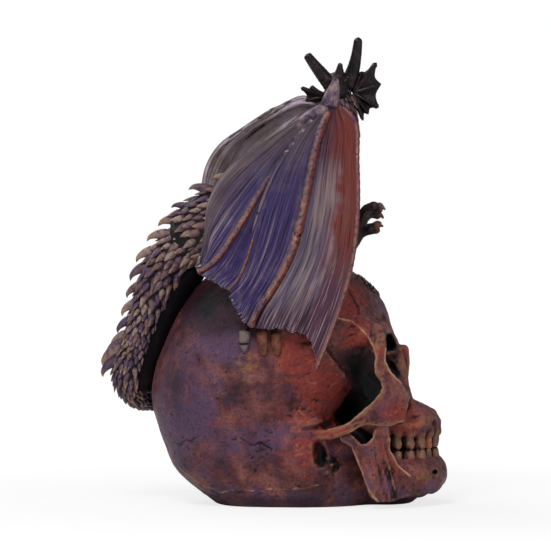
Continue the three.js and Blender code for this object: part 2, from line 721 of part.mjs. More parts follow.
function tailCurve() {
  return pathCurve(tailShares.map(at));
}

// A stretch of the tail with flat ends, so that its castings meet face to face.
function tailPiece([from, to], steps, sides) {
  const curve = tailCurve();
  const rings = [];
  for (let step = 0; step <= steps; step += 1) {
    const share = THREE.MathUtils.lerp(from, to, step / steps);
    const centre = curve.getPoint(share);
    const tangent = curve.getTangent(share);
    if (step === 0 && from > 0) {
      centre.addScaledVector(tangent, glueGap);
    }
    const side = outward(centre, tangent);
    const radius = blend(tailGirthShares, share) * tailRadius;
    rings.push(ringOf(centre, side, tangent.clone().cross(side), radius, radius, sides));
  }
  return loft(rings, middleOf(rings[0]), middleOf(rings.at(-1)));
}

function middleOf(ring) {
  const sum = new THREE.Vector3();
  ring.forEach((point) => sum.add(point));
  return sum.divideScalar(ring.length);
}

// The direction that points away from the middle of the skull, square to the path.
function outward(point, tangent) {
  const middle = at([0, 0.042, 0.548]);
  const away = point.clone().sub(middle);
  return away.addScaledVector(tangent, -away.dot(tangent)).normalize();
}

// A spine on the back, whose tip bends towards the tail: heading is 1 where the path runs that way.
function hookedSpine(curve, share, radius, size, heading) {
  const foot = curve.getPoint(share);
  const tangent = curve.getTangent(share).multiplyScalar(heading);
  const out = outward(foot, tangent);
  const reach = spineLength * size;
  const placed = (height, lean) => foot.clone().addScaledVector(out, height).addScaledVector(tangent, lean);
  const root = placed(radius * 0.8, 0);
  const bend = placed(radius + reach * 0.55, -reach * 0.1);
  const tip = placed(radius + reach * 0.8, reach * 0.45);
  const base = spineRadius * size;
  return limb([root, bend, tip], [base, base * 0.7, base * 0.2], { sides: 5, steps: 1, towards: tangent });
}

const stepsPerCasting = [6, 6, 6, 13];
const spinesPerCasting = [7, 5, 5, 7];
const spineTaperShare = 0.89;
const socketShare = 0.06;

function tail(index) {
  const [from, to] = tailCutShares[index];
  const curve = tailCurve();
  const tube = tailPiece([from, to], stepsPerCasting[index], 10);
  const spines = [];
  const count = spinesPerCasting[index];
  for (let spine = 0; spine < count; spine += 1) {
    const share = THREE.MathUtils.lerp(Math.max(from, socketShare), to, (spine + 0.5) / count);
    const radius = blend(tailGirthShares, share) * tailRadius;
    spines.push(hookedSpine(curve, share, radius, 1 - share * spineTaperShare, 1));
  }
  return cut(joined([tube, ...spines]), [torsoBulk(glueGap), skullBulk(glueGap)]);
}

// Locating pins
function pin(middle, direction) {
  const shape = (radius, half) => {
    const from = middle.clone().addScaledVector(direction, -half);
    const to = middle.clone().addScaledVector(direction, half);
    const across = Math.abs(direction.x) > Math.abs(direction.z) ? UP : ACROSS;
    return limb([from, to], [radius, radius], { sides: 10, steps: 1, towards: across });
  };
  return { body: shape(pinRadius, pinReach), hole: shape(pinRadius + glueGap, pinReach + glueGap) };
}

function bodyPins() {
  return [-0.05, 0.28].map((y) => pin(at([0, y, 1.02]), UP));
}

function headPin() {
  return pin(at([0.01, -0.378, 1.72]), UP);
}

// Finishes
function finish(colour, roughness, metalness) {
  return new THREE.MeshStandardMaterial({ color: colour, roughness, metalness });
}

const bone = finish(0x5f3e41, 0.45, 0.05);
const wingSkin = finish(0x4a3a5c, 0.4, 0.05);
const hide = finish(0x6e5a55, 0.45, 0.05);
const dark = finish(0x2a1e20, 0.4, 0.05);
const steel = finish(0x9a9a9a, 0.35, 1);

const statue = new THREE.Group();

function add(name, shape, material) {
  const mesh = shape.getMesh();
  const geometry = new THREE.BufferGeometry();
  geometry.setAttribute('position', new THREE.BufferAttribute(mesh.vertProperties, 3));
  geometry.setIndex(new THREE.BufferAttribute(mesh.triVerts, 1));
  geometry.computeVertexNormals();
  const part = new THREE.Mesh(geometry, material);
  part.name = name;
  statue.add(part);
}

add('skull', skull(), bone);
add('mandible', mandible(), bone);
add('torso', torso(), hide);
add('neck', neck(), hide);
add('head', head(), dark);
add('horn_right', horn(rightHornShares), dark);
add('horn_left', horn(leftHornShares), dark);
add('ear_fin_right', earFin(rightFinShares), dark);
add('ear_fin_left', earFin(leftFinShares), dark);
add('wing_right', wing(-1), wingSkin);
add('wing_left', wing(1), wingSkin);
add('foreleg_right', leg(foreLegShares, foreGirthShares, foreToeShares, -1), dark);
add('foreleg_left', leg(foreLegShares, foreGirthShares, foreToeShares, 1), dark);
add('hind_leg_right', leg(hindLegShares, hindGirthShares, hindToeShares, -1), hide);
add('hind_leg_left', leg(hindLegShares, hindGirthShares, hindToeShares, 1), hide);
['tail_root', 'tail_bend', 'tail_wrap', 'tail_tip'].forEach((name, index) => add(name, tail(index), hide));
bodyPins().forEach((item, index) => add(['body_pin_front', 'body_pin_rear'][index], item.body, steel));
add('head_pin', headPin().body, steel);

export default statue;
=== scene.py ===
import math

import bpy
import numpy as np
import openvdb
from bpy.props import FloatProperty, FloatVectorProperty, IntProperty, PointerProperty
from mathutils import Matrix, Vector, noise
from mathutils.bvhtree import BVHTree


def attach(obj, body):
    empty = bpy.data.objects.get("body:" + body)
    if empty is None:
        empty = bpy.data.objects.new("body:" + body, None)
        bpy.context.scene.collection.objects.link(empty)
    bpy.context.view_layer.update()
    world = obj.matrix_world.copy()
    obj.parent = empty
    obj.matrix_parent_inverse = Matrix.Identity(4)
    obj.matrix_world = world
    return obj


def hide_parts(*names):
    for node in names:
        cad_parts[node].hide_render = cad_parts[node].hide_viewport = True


bl_info = {
    "name": "Dragon skull statue",
    "version": (1, 0, 0),
    "blender": (4, 5, 0),
    "location": "View3D > Sidebar > Statue",
    "description": "Sculpts and paints a resin skull with a small horned dragon on top",
    "category": "Object",
}

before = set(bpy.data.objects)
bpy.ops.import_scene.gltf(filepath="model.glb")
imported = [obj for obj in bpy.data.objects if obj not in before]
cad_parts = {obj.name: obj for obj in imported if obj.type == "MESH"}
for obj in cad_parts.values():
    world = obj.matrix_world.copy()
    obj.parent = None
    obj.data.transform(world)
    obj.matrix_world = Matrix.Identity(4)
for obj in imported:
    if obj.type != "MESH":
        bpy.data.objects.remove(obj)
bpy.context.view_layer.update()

# The statue is laid out in millimetres, as its source is, and every mesh is made in metres.
MM = 0.001
HALF_WIDTH, REACH, SKULL_HEIGHT, DRAGON_HEIGHT = 43.0, 72.0, 104.0, 96.0
UP = np.array([0.0, 0.0, 1.0])
ALONG = np.array([0.0, 1.0, 0.0])
ACROSS = np.array([1.0, 0.0, 0.0])


def paint(red, green, blue):
    """A colour of the paint table as the linear values that Blender uses."""
    shares = np.array([red, green, blue]) / 255
    return tuple(np.where(shares < 0.04045, shares / 12.92, ((shares + 0.055) / 1.055) ** 2.4))


def at(places):
    """Places given as shares of the statue's sizes, in millimetres."""
    places = np.atleast_2d(np.asarray(places, float))
    high = places[:, 2]
    level = np.where(high <= 1, high * SKULL_HEIGHT, SKULL_HEIGHT + (high - 1) * DRAGON_HEIGHT)
    return np.column_stack([places[:, 0] * HALF_WIDTH, places[:, 1] * REACH, level])


def placed_on(side):
    """Places shares on one side of the statue, or mirrored on the other."""
    return lambda places: at(np.asarray(places, float) * (side, 1, 1))


def smooth_path(points, count):
    """Points along a smooth curve through the given ones."""
    points = np.asarray(points, float)
    last = len(points) - 1
    padded = np.vstack([2 * points[0] - points[1], points, 2 * points[-1] - points[-2]])
    place = np.linspace(0, last, count)
    index = np.minimum(place.astype(int), last - 1)
    t = (place - index)[:, None]
    p0, p1, p2, p3 = (padded[index + step] for step in range(4))

    def knot(a, b):
        return np.sqrt(np.maximum(np.linalg.norm(b - a, axis=1, keepdims=True), 1e-6))

    d0, d1, d2 = knot(p0, p1), knot(p1, p2), knot(p2, p3)
    start = ((p1 - p0) / d0 - (p2 - p0) / (d0 + d1) + (p2 - p1) / d1) * d1
    end = ((p2 - p1) / d1 - (p3 - p1) / (d1 + d2) + (p3 - p2) / d2) * d1
    return (p1 + start * t + (3 * (p2 - p1) - 2 * start - end) * t ** 2
            + (2 * (p1 - p2) + start + end) * t ** 3)


def spread(values, count):
    """Values spread evenly along a path."""
    return np.interp(np.linspace(0, len(values) - 1, count), np.arange(len(values)), values)


def unit(vectors):
    return vectors / np.maximum(np.linalg.norm(vectors, axis=-1, keepdims=True), 1e-9)


def rise(low, high, values):
    """0 below low, 1 above high and a soft step between them."""
    share = np.clip((values - low) / (high - low), 0, 1)
    return share * share * (3 - 2 * share)


def uneven(points, size, seed, octaves=3):
    """Soft irregularity, about -1 to 1, with features of the given size in millimetres."""
    shift = Vector((seed * 7.3, seed * 3.1, seed * 5.7))
    return np.array([
        noise.fractal(Vector(point) + shift, 0.8, 2.0, octaves) for point in points / size
    ])


# Meshes


def piece_from(name, points, faces):
    """A mesh object from points in millimetres."""
    mesh = bpy.data.meshes.new(name)
    mesh.from_pydata(np.asarray(points, float) * MM, [], faces)
    mesh.update()
    piece = bpy.data.objects.new(name, mesh)
    bpy.context.scene.collection.objects.link(piece)
    return piece


def clear_selection():
    if bpy.context.mode != "OBJECT":
        bpy.ops.object.mode_set(mode="OBJECT")
    bpy.ops.object.select_all(action="DESELECT")


def only(piece):
    """Makes one piece the active and selected one."""
    clear_selection()
    piece.select_set(True)
    bpy.context.view_layer.objects.active = piece


def points_of(piece):
    points = np.empty(len(piece.data.vertices) * 3)
    piece.data.vertices.foreach_get("co", points)
    return points.reshape(-1, 3) / MM


def move_points(piece, points):
    piece.data.vertices.foreach_set("co", (np.asarray(points) * MM).ravel())
    piece.data.update()


def normals_of(piece):
    normals = np.empty(len(piece.data.vertices) * 3)
    piece.data.vertex_normals.foreach_get("vector", normals)
    return normals.reshape(-1, 3)


def set_shares(piece, name, values):
    """Stores one number for each point, which the paint reads."""
    layer = piece.data.attributes.new(name, "FLOAT", "POINT")
    layer.data.foreach_set("value", np.asarray(values, np.float32))


def grid_of(name, places):
    """A grid laid over places[along, across]."""
    along, across = places.shape[:2]
    clear_selection()
    bpy.ops.mesh.primitive_grid_add(x_subdivisions=across - 1, y_subdivisions=along - 1)
    piece = bpy.context.object
    piece.name = piece.data.name = name
    move_points(piece, places.reshape(-1, 3))
    return piece


def wrapped(name, places):
    """A grid closed along its seam and at its poles."""
    piece = grid_of(name, places)
    bpy.ops.object.mode_set(mode="EDIT")
    bpy.ops.mesh.select_all(action="SELECT")
    bpy.ops.mesh.remove_doubles(threshold=1e-6)
    bpy.ops.mesh.normals_make_consistent(inside=False)
    bpy.ops.object.mode_set(mode="OBJECT")
    bpy.ops.object.shade_smooth()
    return piece


def once_round(sides):
    """Angles once round, the last of them the first again."""
    angle = np.linspace(0, 2 * math.pi, sides + 1)
    angle[-1] = 0
    return angle


def square_to(tangents, towards):
    """Directions square to a path, on the given side of it."""
    return unit(towards - tangents * (tangents @ towards)[:, None])


def rings(path, radii, sides, towards=UP, flat=1.0):
    """Rings of places round a path; flat is the share of the radius square to towards."""
    tangents = unit(np.gradient(path, axis=0))
    side = square_to(tangents, towards)
    other = np.cross(tangents, side)
    angle = once_round(sides)
    radii = np.asarray(radii)[:, None, None]
    around = np.cos(angle)[None, :, None] * side[:, None] + (
        np.sin(angle)[None, :, None] * flat * other[:, None])
    return path[:, None] + around * radii


def domed(girth, share, foot, tip):
    """A girth drawn in to nothing at both ends, over the given shares of the length."""
    for place, dome in ((share, foot), (1 - share, tip)):
        girth = girth * np.sqrt(1 - (1 - np.clip(place / dome, 0, 1)) ** 2)
    return girth


def smoothed(piece):
    only(piece)
    bpy.ops.object.shade_smooth()


def roughen(piece, *layers):
    """Moves a surface in and out by layers of unevenness: height, size and seed."""
    points, normals = points_of(piece), normals_of(piece)
    shift = sum(height * uneven(points, size, seed, 2) for height, size, seed in layers)
    move_points(piece, points + normals * shift[:, None])


def tube(name, points, radii, sides=12, steps=8, towards=UP, flat=1.0, dome=0.06, shape=None):
    """A rounded limb through points, drawn in to a pole at each end."""
    count = (len(points) - 1) * steps + 1
    path = smooth_path(points, count)
    share = np.linspace(0, 1, count)
    girth = spread(radii, count)
    if shape is not None:
        girth = girth * shape(share)
    return wrapped(name, rings(path, domed(girth, share, dome, dome), sides, towards, flat))


def joined(name, pieces):
    """One piece from several."""
    only(pieces[0])
    for piece in pieces:
        piece.select_set(True)
    if len(pieces) > 1:
        bpy.ops.object.join()
    whole = bpy.context.view_layer.objects.active
    whole.name = whole.data.name = name
    return whole


def edges_of(piece):
    edges = np.empty(len(piece.data.edges) * 2, int)
    piece.data.edges.foreach_get("vertices", edges)
    return edges.reshape(-1, 2)


def softened(points, edges, rounds, strength=0.6):
    """Points drawn towards their neighbours' middle, round after round."""
    count = len(points)
    both = np.concatenate([edges, edges[:, ::-1]])
    degree = np.maximum(np.bincount(both[:, 0], minlength=count), 1)[:, None]
    points = points.copy()
    for _ in range(rounds):
        sums = np.column_stack([
            np.bincount(both[:, 0], weights=points[both[:, 1], axis], minlength=count)
            for axis in range(points.shape[1])
        ])
        points += strength * (sums / degree - points)
    return points


def mark_relief(piece, fine=3, broad=24):
    """Marks how far each point stands out from what is round it: the brush catches it."""
    points, edges = points_of(piece), edges_of(piece)
    normals = normals_of(piece)
    near = softened(points, edges, fine)
    far = softened(near, edges, broad)
    sharp = np.einsum("ij,ij->i", points - near, normals)
    wide = np.einsum("ij,ij->i", near - far, normals)
    set_shares(piece, "relief", np.clip(sharp / 0.10, -1, 1) * 0.5 + np.clip(wide / 0.55, -1,
                                                                             1) * 0.5)


# Clay: forms that run into each other are built up and carved on a grid of distances


class Clay:
    """A block of clay, kept as distances to its surface in millimetres."""

    def __init__(self, low, high, grain):
        self.grain = grain
        self.axes = [np.arange(a, b + grain, grain) for a, b in zip(low, high)]
        self.value = np.full([len(axis) for axis in self.axes], 50.0, np.float32)

    def window(self, low, high):
        """The part of the block between two corners, and its coordinates."""
        spans = []
        for axis, a, b in zip(self.axes, low, high):
            first = int(np.clip((a - axis[0]) / self.grain, 0, len(axis) - 1))
            last = int(np.clip((b - axis[0]) / self.grain + 2, first + 1, len(axis)))
            spans.append(slice(first, last))
        grid = np.meshgrid(*[axis[span] for axis, span in zip(self.axes, spans)],
                           indexing="ij", sparse=True)
        return tuple(spans), grid

    def add(self, form, blend=2.0):
        self._work(form, blend, 1)

    def carve(self, form, blend=1.0):
        self._work(form, blend, -1)

    def _work(self, form, blend, sign):
        low, high, distance = form
        margin = blend + 3 * self.grain
        spans, grid = self.window(np.array(low) - margin, np.array(high) + margin)
        new, old = distance(*grid) * sign, self.value[spans]
        closeness = np.maximum(blend - np.abs(old - new), 0) / blend
        merged = np.minimum(old, new) if sign > 0 else np.maximum(old, new)
        self.value[spans] = merged - sign * (closeness ** 2 * blend / 4)

    def add_both(self, make, blend=2.0):
        self.add(make(1), blend)
        self.add(make(-1), blend)

    def carve_both(self, make, blend=1.0):
        self.carve(make(1), blend)
        self.carve(make(-1), blend)

    def flatten_base(self):
        """Cuts the block level at height 0."""
        self.value = np.maximum(self.value, -self.axes[2][None, None, :]).astype(np.float32)

    def depth(self, points, normals):
        """How enclosed each point of the surface is, 0 to 1."""
        total = np.zeros(len(points))
        for reach, weight in ((1.5, 0.3), (3, 0.26), (6, 0.2), (10, 0.14), (15, 0.1)):
            index = (points + normals * reach - [axis[0] for axis in self.axes]) / self.grain
            index = np.clip(np.rint(index).astype(int), 0, np.array(self.value.shape) - 1)
            free = self.value[index[:, 0], index[:, 1], index[:, 2]]
            total += weight * np.clip(1 - free / reach, 0, 1.4)
        return np.clip(total, 0, 1)

    def cast(self, name, soft=2):
        """The surface of the clay as a mesh object."""
        grid = openvdb.FloatGrid(50.0)
        grid.copyFromArray(self.value)
        points, quads = grid.convertToQuads(0.0)
        points = points.astype(float) * self.grain + [axis[0] for axis in self.axes]
        piece = piece_from(name, points, quads)
        if soft:
            move_points(piece, softened(points, edges_of(piece), soft, 0.5))
        smoothed(piece)
        # The enclosure is kept for the paint, which lays painted shade where it is high.
        set_shares(piece, "depth", self.depth(points_of(piece), normals_of(piece)))
        return piece


def egg(middle, halves, turn=0.0, axis=0):
    """An egg-shaped form, turned about one axis by an angle in degrees."""
    middle, halves = np.array(middle, float), np.array(halves, float)
    size = np.full(3, halves.max()) if turn else halves
    cos, sin = math.cos(math.radians(turn)), math.sin(math.radians(turn))
    first, second = [other for other in range(3) if other != axis]

    def distance(x, y, z):
        local = [x - middle[0], y - middle[1], z - middle[2]]
        a, b = local[first], local[second]
        local[first], local[second] = a * cos + b * sin, b * cos - a * sin
        near = np.sqrt(sum((part / half) ** 2 for part, half in zip(local, halves)))
        steep = np.sqrt(sum((part / half ** 2) ** 2 for part, half in zip(local, halves)))
        return near * (near - 1) / np.maximum(steep, 1e-6)

    return middle - size, middle + size, distance


def strand(points, radii, stretch=(1, 1, 1), steps=5):
    """A form that follows a smooth path, with its own radius at each point."""
    stretch = np.array(stretch, float)
    count = (len(points) - 1) * steps + 1
    path, girth = smooth_path(points, count), spread(radii, count)
    widest = girth.max() * stretch.max()

    def distance(x, y, z):
        shape = np.broadcast_shapes(x.shape, y.shape, z.shape)
        best = np.full(shape, 1e3)
        for a, b, ra, rb in zip(path / stretch, path[1:] / stretch, girth, girth[1:]):
            run = b - a
            px, py, pz = x / stretch[0] - a[0], y / stretch[1] - a[1], z / stretch[2] - a[2]
            share = np.clip((px * run[0] + py * run[1] + pz * run[2]) / max(run @ run, 1e-9), 0, 1)
            gap = sum((p - part * share) ** 2 for p, part in zip((px, py, pz), run))
            best = np.minimum(best, np.sqrt(gap) - (ra + (rb - ra) * share))
        return best

    return path.min(0) - widest, path.max(0) + widest, distance


def egg_on(middle, halves, turn=0.0, axis=0):
    """An egg that is made on either side."""
    return lambda side: egg(np.array(middle, float) * (side, 1, 1), halves, turn, axis)


def strand_on(points, radii, stretch=(1, 1, 1)):
    """A strand that is made on either side."""
    return lambda side: strand(np.array(points, float) * (side, 1, 1), radii, stretch)


def edge_distance(y, z, outline):
    """Signed distance to a closed outline in the plane of Y and Z, negative inside."""
    best = np.full(np.broadcast_shapes(y.shape, z.shape), 1e6)
    inside = np.zeros(best.shape, bool)
    for (ay, az), (by, bz) in zip(outline, np.roll(outline, -1, axis=0)):
        ey, ez = by - ay, bz - az
        share = np.clip(((y - ay) * ey + (z - az) * ez) / (ey * ey + ez * ez + 1e-9), 0, 1)
        best = np.minimum(best, (y - ay - ey * share) ** 2 + (z - az - ez * share) ** 2)
        crossing = (az > z) != (bz > z)
        inside ^= crossing & (y < ey * (z - az) / (ez if abs(ez) > 1e-9 else 1e-9) + ay)
    return np.where(inside, -1, 1) * np.sqrt(best)


def plate(outline, middle, half):
    """A flat form with the given outline, square to X."""
    outline = np.asarray(outline, float)
    low = np.array([middle - half, *outline.min(0)])
    high = np.array([middle + half, *outline.max(0)])

    def distance(x, y, z):
        flat = edge_distance(y, z, outline)
        thick = np.abs(x - middle) - half
        outside = np.sqrt(np.maximum(flat + 1, 0) ** 2 + np.maximum(thick + 1, 0) ** 2) - 1
        return np.where((flat > -1) & (thick > -1), outside, np.maximum(flat, thick))

    return low, high, distance


def sheet(outline, outer, thickness, rim=0.6, side=1):
    """A curved plate: its outline in the plane of Y and Z, its outer face at |X| = outer(y, z)."""
    outline = np.asarray(outline, float)
    low = np.array([-44.0 if side < 0 else 14, *outline.min(0)])
    high = np.array([44.0 if side > 0 else -14, *outline.max(0)])

    def distance(x, y, z):
        flat = edge_distance(y, z, outline)
        face = outer(y, z) + rim * np.exp(-((flat + 0.5) / 0.7) ** 2)
        thick = np.maximum(side * x - face, face - thickness - side * x)
        outside = np.sqrt(np.maximum(flat + 0.8, 0) ** 2 + np.maximum(thick + 0.8, 0) ** 2) - 0.8
        return np.where((flat > -0.8) & (thick > -0.8), outside, np.maximum(flat, thick))

    return low, high, distance


# The skull: height, front, back and half width of the braincase, level by level
BRAINCASE = np.array([
    [-3, -12, 20, 22], [2, -14, 26.6, 25], [8, -16, 35, 28], [16, -18, 42.8, 31],
    [24, -20, 46.4, 33.5], [32, -24, 49.2, 36], [42, -30, 51.9, 39], [51, -36, 52, 41],
    [62, -41, 49.4, 42], [70, -45, 46.2, 41.6], [76, -47.6, 43.6, 40.6], [83, -46.6, 39.8, 38.2],
    [88, -44.2, 36.4, 35.6], [92, -41.4, 33.4, 32.8], [97, -36.2, 28.6, 28], [101, -29.6, 22.5, 22],
    [104, -21, 14.5, 15], [105.6, -11, 6, 8], [106, -4, 0, 4],
])
CHEEKBONE = np.array([
    [-43.2, 66.2], [-42.7, 62.6], [-42.5, 59.6], [-43.2, 56.7], [-44.9, 54.6], [-46, 51.7],
    [-44.9, 48.9], [-42.5, 46.4], [-38.9, 43.2], [-36, 40.4], [-32.5, 37.7], [-28.2, 35.4],
    [-23.9, 34], [-16, 33.6], [-16, 29.6], [-23.9, 29.8], [-28.2, 30.9], [-32.5, 33.3], [-36, 35.4],
    [-38.9, 36.4], [-43.2, 35.7], [-46.7, 35.3], [-50.3, 35.7], [-54.6, 36.8], [-56.6, 38.6],
    [-57, 44.6], [-56, 49.6], [-53.9, 53], [-51, 55.3], [-48.6, 58.6], [-46.9, 62.2],
    [-46.6, 65.3], [-47, 70], [-47.2, 75], [-43, 74], [-42.2, 69.4],
])
BROW_SIDE = np.array([
    [-18, 84.5], [-26, 81.6], [-30, 80], [-32.8, 79.2], [-36, 76.7], [-38.9, 73.8], [-40.7, 71],
    [-42.1, 68.4], [-43.2, 64.6], [-46.8, 64.6], [-47, 69.6], [-46.6, 74], [-43, 78], [-38, 82],
    [-32, 85], [-24, 86],
])
CHEEK_DEPTH = [(-58, 26.4), (-55, 30.4), (-51, 33.8), (-47, 36.2), (-43, 37.8), (-38, 40.6),
               (-33, 41.9),
               (-27, 42), (-20, 40.4), (-14, 36)]
BROW_DEPTH = [(-50, 30), (-46.6, 33.6), (-43, 35.4), (-38, 36), (-32, 35.6), (-24, 35), (-16, 33)]
RAMUS_DEPTH = [(-60, 29.4), (-57, 31.6), (-52, 33.6), (-47, 35), (-41, 36), (-34, 36.4), (-27, 37)]
LOBE_EDGE = np.array([
    [-20, 71], [-24, 65], [-27, 60.6], [-30, 57], [-31.8, 52.4], [-31.8, 46.7], [-30, 41],
    [-26, 36.2],
    [-10, 34], [4, 40], [8, 54], [0, 68],
])
NOSE = np.array([
    [-42, 76], [-47.6, 75], [-49.6, 72], [-51, 69.4], [-52.8, 67.8], [-56.8, 67.4], [-57.6, 66.4],
    [-58, 60], [-57.4, 54], [-57.8, 49], [-57, 46], [-48, 50],
])
FOSSA = np.array([
    [-27, 79], [-22, 70], [-24, 65], [-27, 60.6], [-30, 57], [-31.8, 52.4], [-31.8, 46.7],
    [-30, 41],
    [-26, 35], [-36, 37], [-42, 42], [-48, 49], [-48, 55], [-45, 62], [-44, 68], [-40, 73],
    [-34, 78],
])
FACE_LINES = [
    [[-27, 80.6], [-32.8, 79.2], [-36, 76.7], [-38.9, 73.8], [-40.7, 71], [-42.1, 68.4], [-43, 65],
     [-42.5, 59.6], [-43.2, 56.7], [-44.9, 54.6], [-46, 51.7], [-44.9, 48.9], [-42.5, 46.4],
     [-38.9, 43.2], [-36, 40.4], [-32.5, 37.7], [-28.2, 35.4], [-23, 33.9]],
    [[-46.8, 68], [-46.7, 65.3], [-46.9, 62.2], [-48.6, 58.6], [-51, 55.3], [-53.9, 53]],
    [[-31, 32.4], [-36, 35.4], [-38.9, 36.4], [-43.2, 35.7], [-46.7, 35.3], [-50.3, 35.7],
     [-54.6, 36.8]],
]
RAMUS_LINES = [
    [[-28, 30.6], [-28.4, 29], [-31.6, 27.6], [-32.6, 26.4], [-34.3, 22.5], [-36, 18.2],
     [-38.9, 11.1], [-41, 6.8], [-43.9, 3.2]],
    [[-42.6, 33.6], [-41.6, 30], [-39.2, 27.6], [-36.4, 27.6], [-34.4, 29.6], [-32.4, 31.2]],
    [[-48.7, 29.6], [-48.6, 25.4], [-50.3, 21.8], [-52.4, 18.2], [-57.4, 13.8]],
]
BASE_SEAM = [[40, 16], [30, 9.5], [23, 6.5], [10, 7.5], [-5, 8.4], [-17, 9.4], [-19, 11.5]]
CHIN_CRACK = [[-57, 13], [-59, 10.4], [-57.8, 8], [-61, 5.4], [-62.6, 8.4]]
EYE_SLOTS = [[[-46.8, 73.6], [-51.2, 68]], [[-48, 62.6], [-52.4, 55.6]]]
CRACKS = [
    [[45, 25], [42, 27.5], [40, 26.5], [37.5, 29], [35, 28], [32, 31]],
    [[-31, 93], [-33, 89], [-35.5, 85.5], [-36, 82]],
    [[-38, 66], [-35, 63], [-36, 59], [-33, 56]],
    [[14, 30], [9, 27], [6, 28.5], [1, 25]],
]
TOOTH_X = [0.06, 0.18, 0.29, 0.39, 0.47, 0.53, 0.58]
TOOTH_Y = [-0.965, -0.95, -0.915, -0.865, -0.8, -0.725, -0.65]
BITE = 24.1
RAMUS = np.array([
    [-41, 6.8], [-43.9, 3.2], [-50, 3], [-57, 5.5], [-59.6, 12.4], [-57.4, 13.8], [-52.4, 18.2],
    [-50.3, 21.8], [-48.6, 25.4], [-48.7, 29.6], [-48.2, 35], [-46.6, 39], [-44.4, 38],
    [-42.6, 33.6],
    [-41.6, 30], [-39.2, 27.6], [-36.4, 27.6], [-34.4, 29.6], [-32.4, 31.2], [-27.6, 30.6],
    [-28.4, 29], [-31.6, 27.6], [-32.6, 26.4], [-34.3, 22.5], [-36, 18.2], [-38.9, 11.1],
])


# Spots of paint: strength, middle and reach in the plane of Y and Z. The first two tables are
# painted shade.
DEEP_SHADE_SPOTS = [(1, -39, 49, 7.5, 9), (1, -34, 41, 8, 5.5)]
SHADE_SPOTS = [(0.75, 29, 86, 11, 11), (0.4, 8, 79, 14, 5), (0.5, -34, 62, 5, 5),
              (0.3, 42, 52, 6, 16), (0.5, -28, 28.5, 5, 2.5)]
WASHES = {
    "rust": [(1.2, -32, 87, 7, 10), (1.2, -20, 51, 11, 13), (0.9, -33, 67, 6, 7),
             # The rust spot at (-44.6, 68) here and the ochre spot at (-42.5, 69) below make a
             # bright spot on the orbit's outer rim, partly a painted highlight.
             (1.2, -44.6, 68, 1.6, 3), (0.45, -45, 52, 8, 9), (1, -56, 38, 9, 9),
             (0.9, -37, 74, 5, 5), (0.8, -12, 66, 6, 8), (0.8, -14, 24, 8, 9), (1, -25, 34, 8, 4),
             (1.2, -8, 68, 8, 9), (0.5, -50, 15, 16, 10), (0.6, -57, 64, 5, 6),
             (0.35, 0, 34, 30, 20)],
    "violet": [(0.7, 2, 30, 34, 9), (0.5, -6, 47, 8, 4), (1, 38, 40, 16, 24), (1, 20, 68, 12, 10),
               (0.6, -46, 84, 5, 6), (0.5, -47, 48, 6, 6), (0.6, 28, 84, 13, 12),
               (0.7, 8, 3, 60, 7), (0.4, -64, 8, 12, 8), (0.6, 10, 84, 20, 10)],
    "ochre": [(1, 12, 61, 7, 8), (0.3, 30, 78, 8, 10), (1, -42.5, 69, 3, 6), (0.6, -43, 86, 4, 7),
              (0.5, -30, 37, 8, 4), (0.5, 26, 50, 6, 22), (0.9, -64, 14, 7, 6)],
}


def braincase():
    rows = smooth_path(BRAINCASE, 200)
    order = np.argsort(rows[:, 0])
    rows = rows[order]

    def distance(x, y, z):
        front, back, half = (np.interp(z, rows[:, 0], rows[:, column]) for column in (1, 2, 3))
        middle, reach = (front + back) / 2, (back - front) / 2
        t = (y - middle) / reach
        s = np.abs(x) / (half * (1 + 0.08 * np.clip(t, -1, 1)))
        near = (np.abs(t) ** 2.25 + s ** 2.25) ** (1 / 2.25)
        return np.maximum((near - 1) * np.minimum(reach, half) * 0.9, z - 105.9)

    return (-44, -54, -4), (44, 56, 108), distance


def face_of(depths, lean):
    """How far out the face of a plate stands, drawn in by lean above the cheekbone."""
    rows = np.array(depths)
    return lambda y, z: np.interp(y, rows[:, 0], rows[:, 1]) - lean * np.maximum(z - 71, 0)


brow_face, cheek_face = face_of(BROW_DEPTH, 0.72), face_of(CHEEK_DEPTH, 0.72)
ramus_face = face_of(RAMUS_DEPTH, 0)


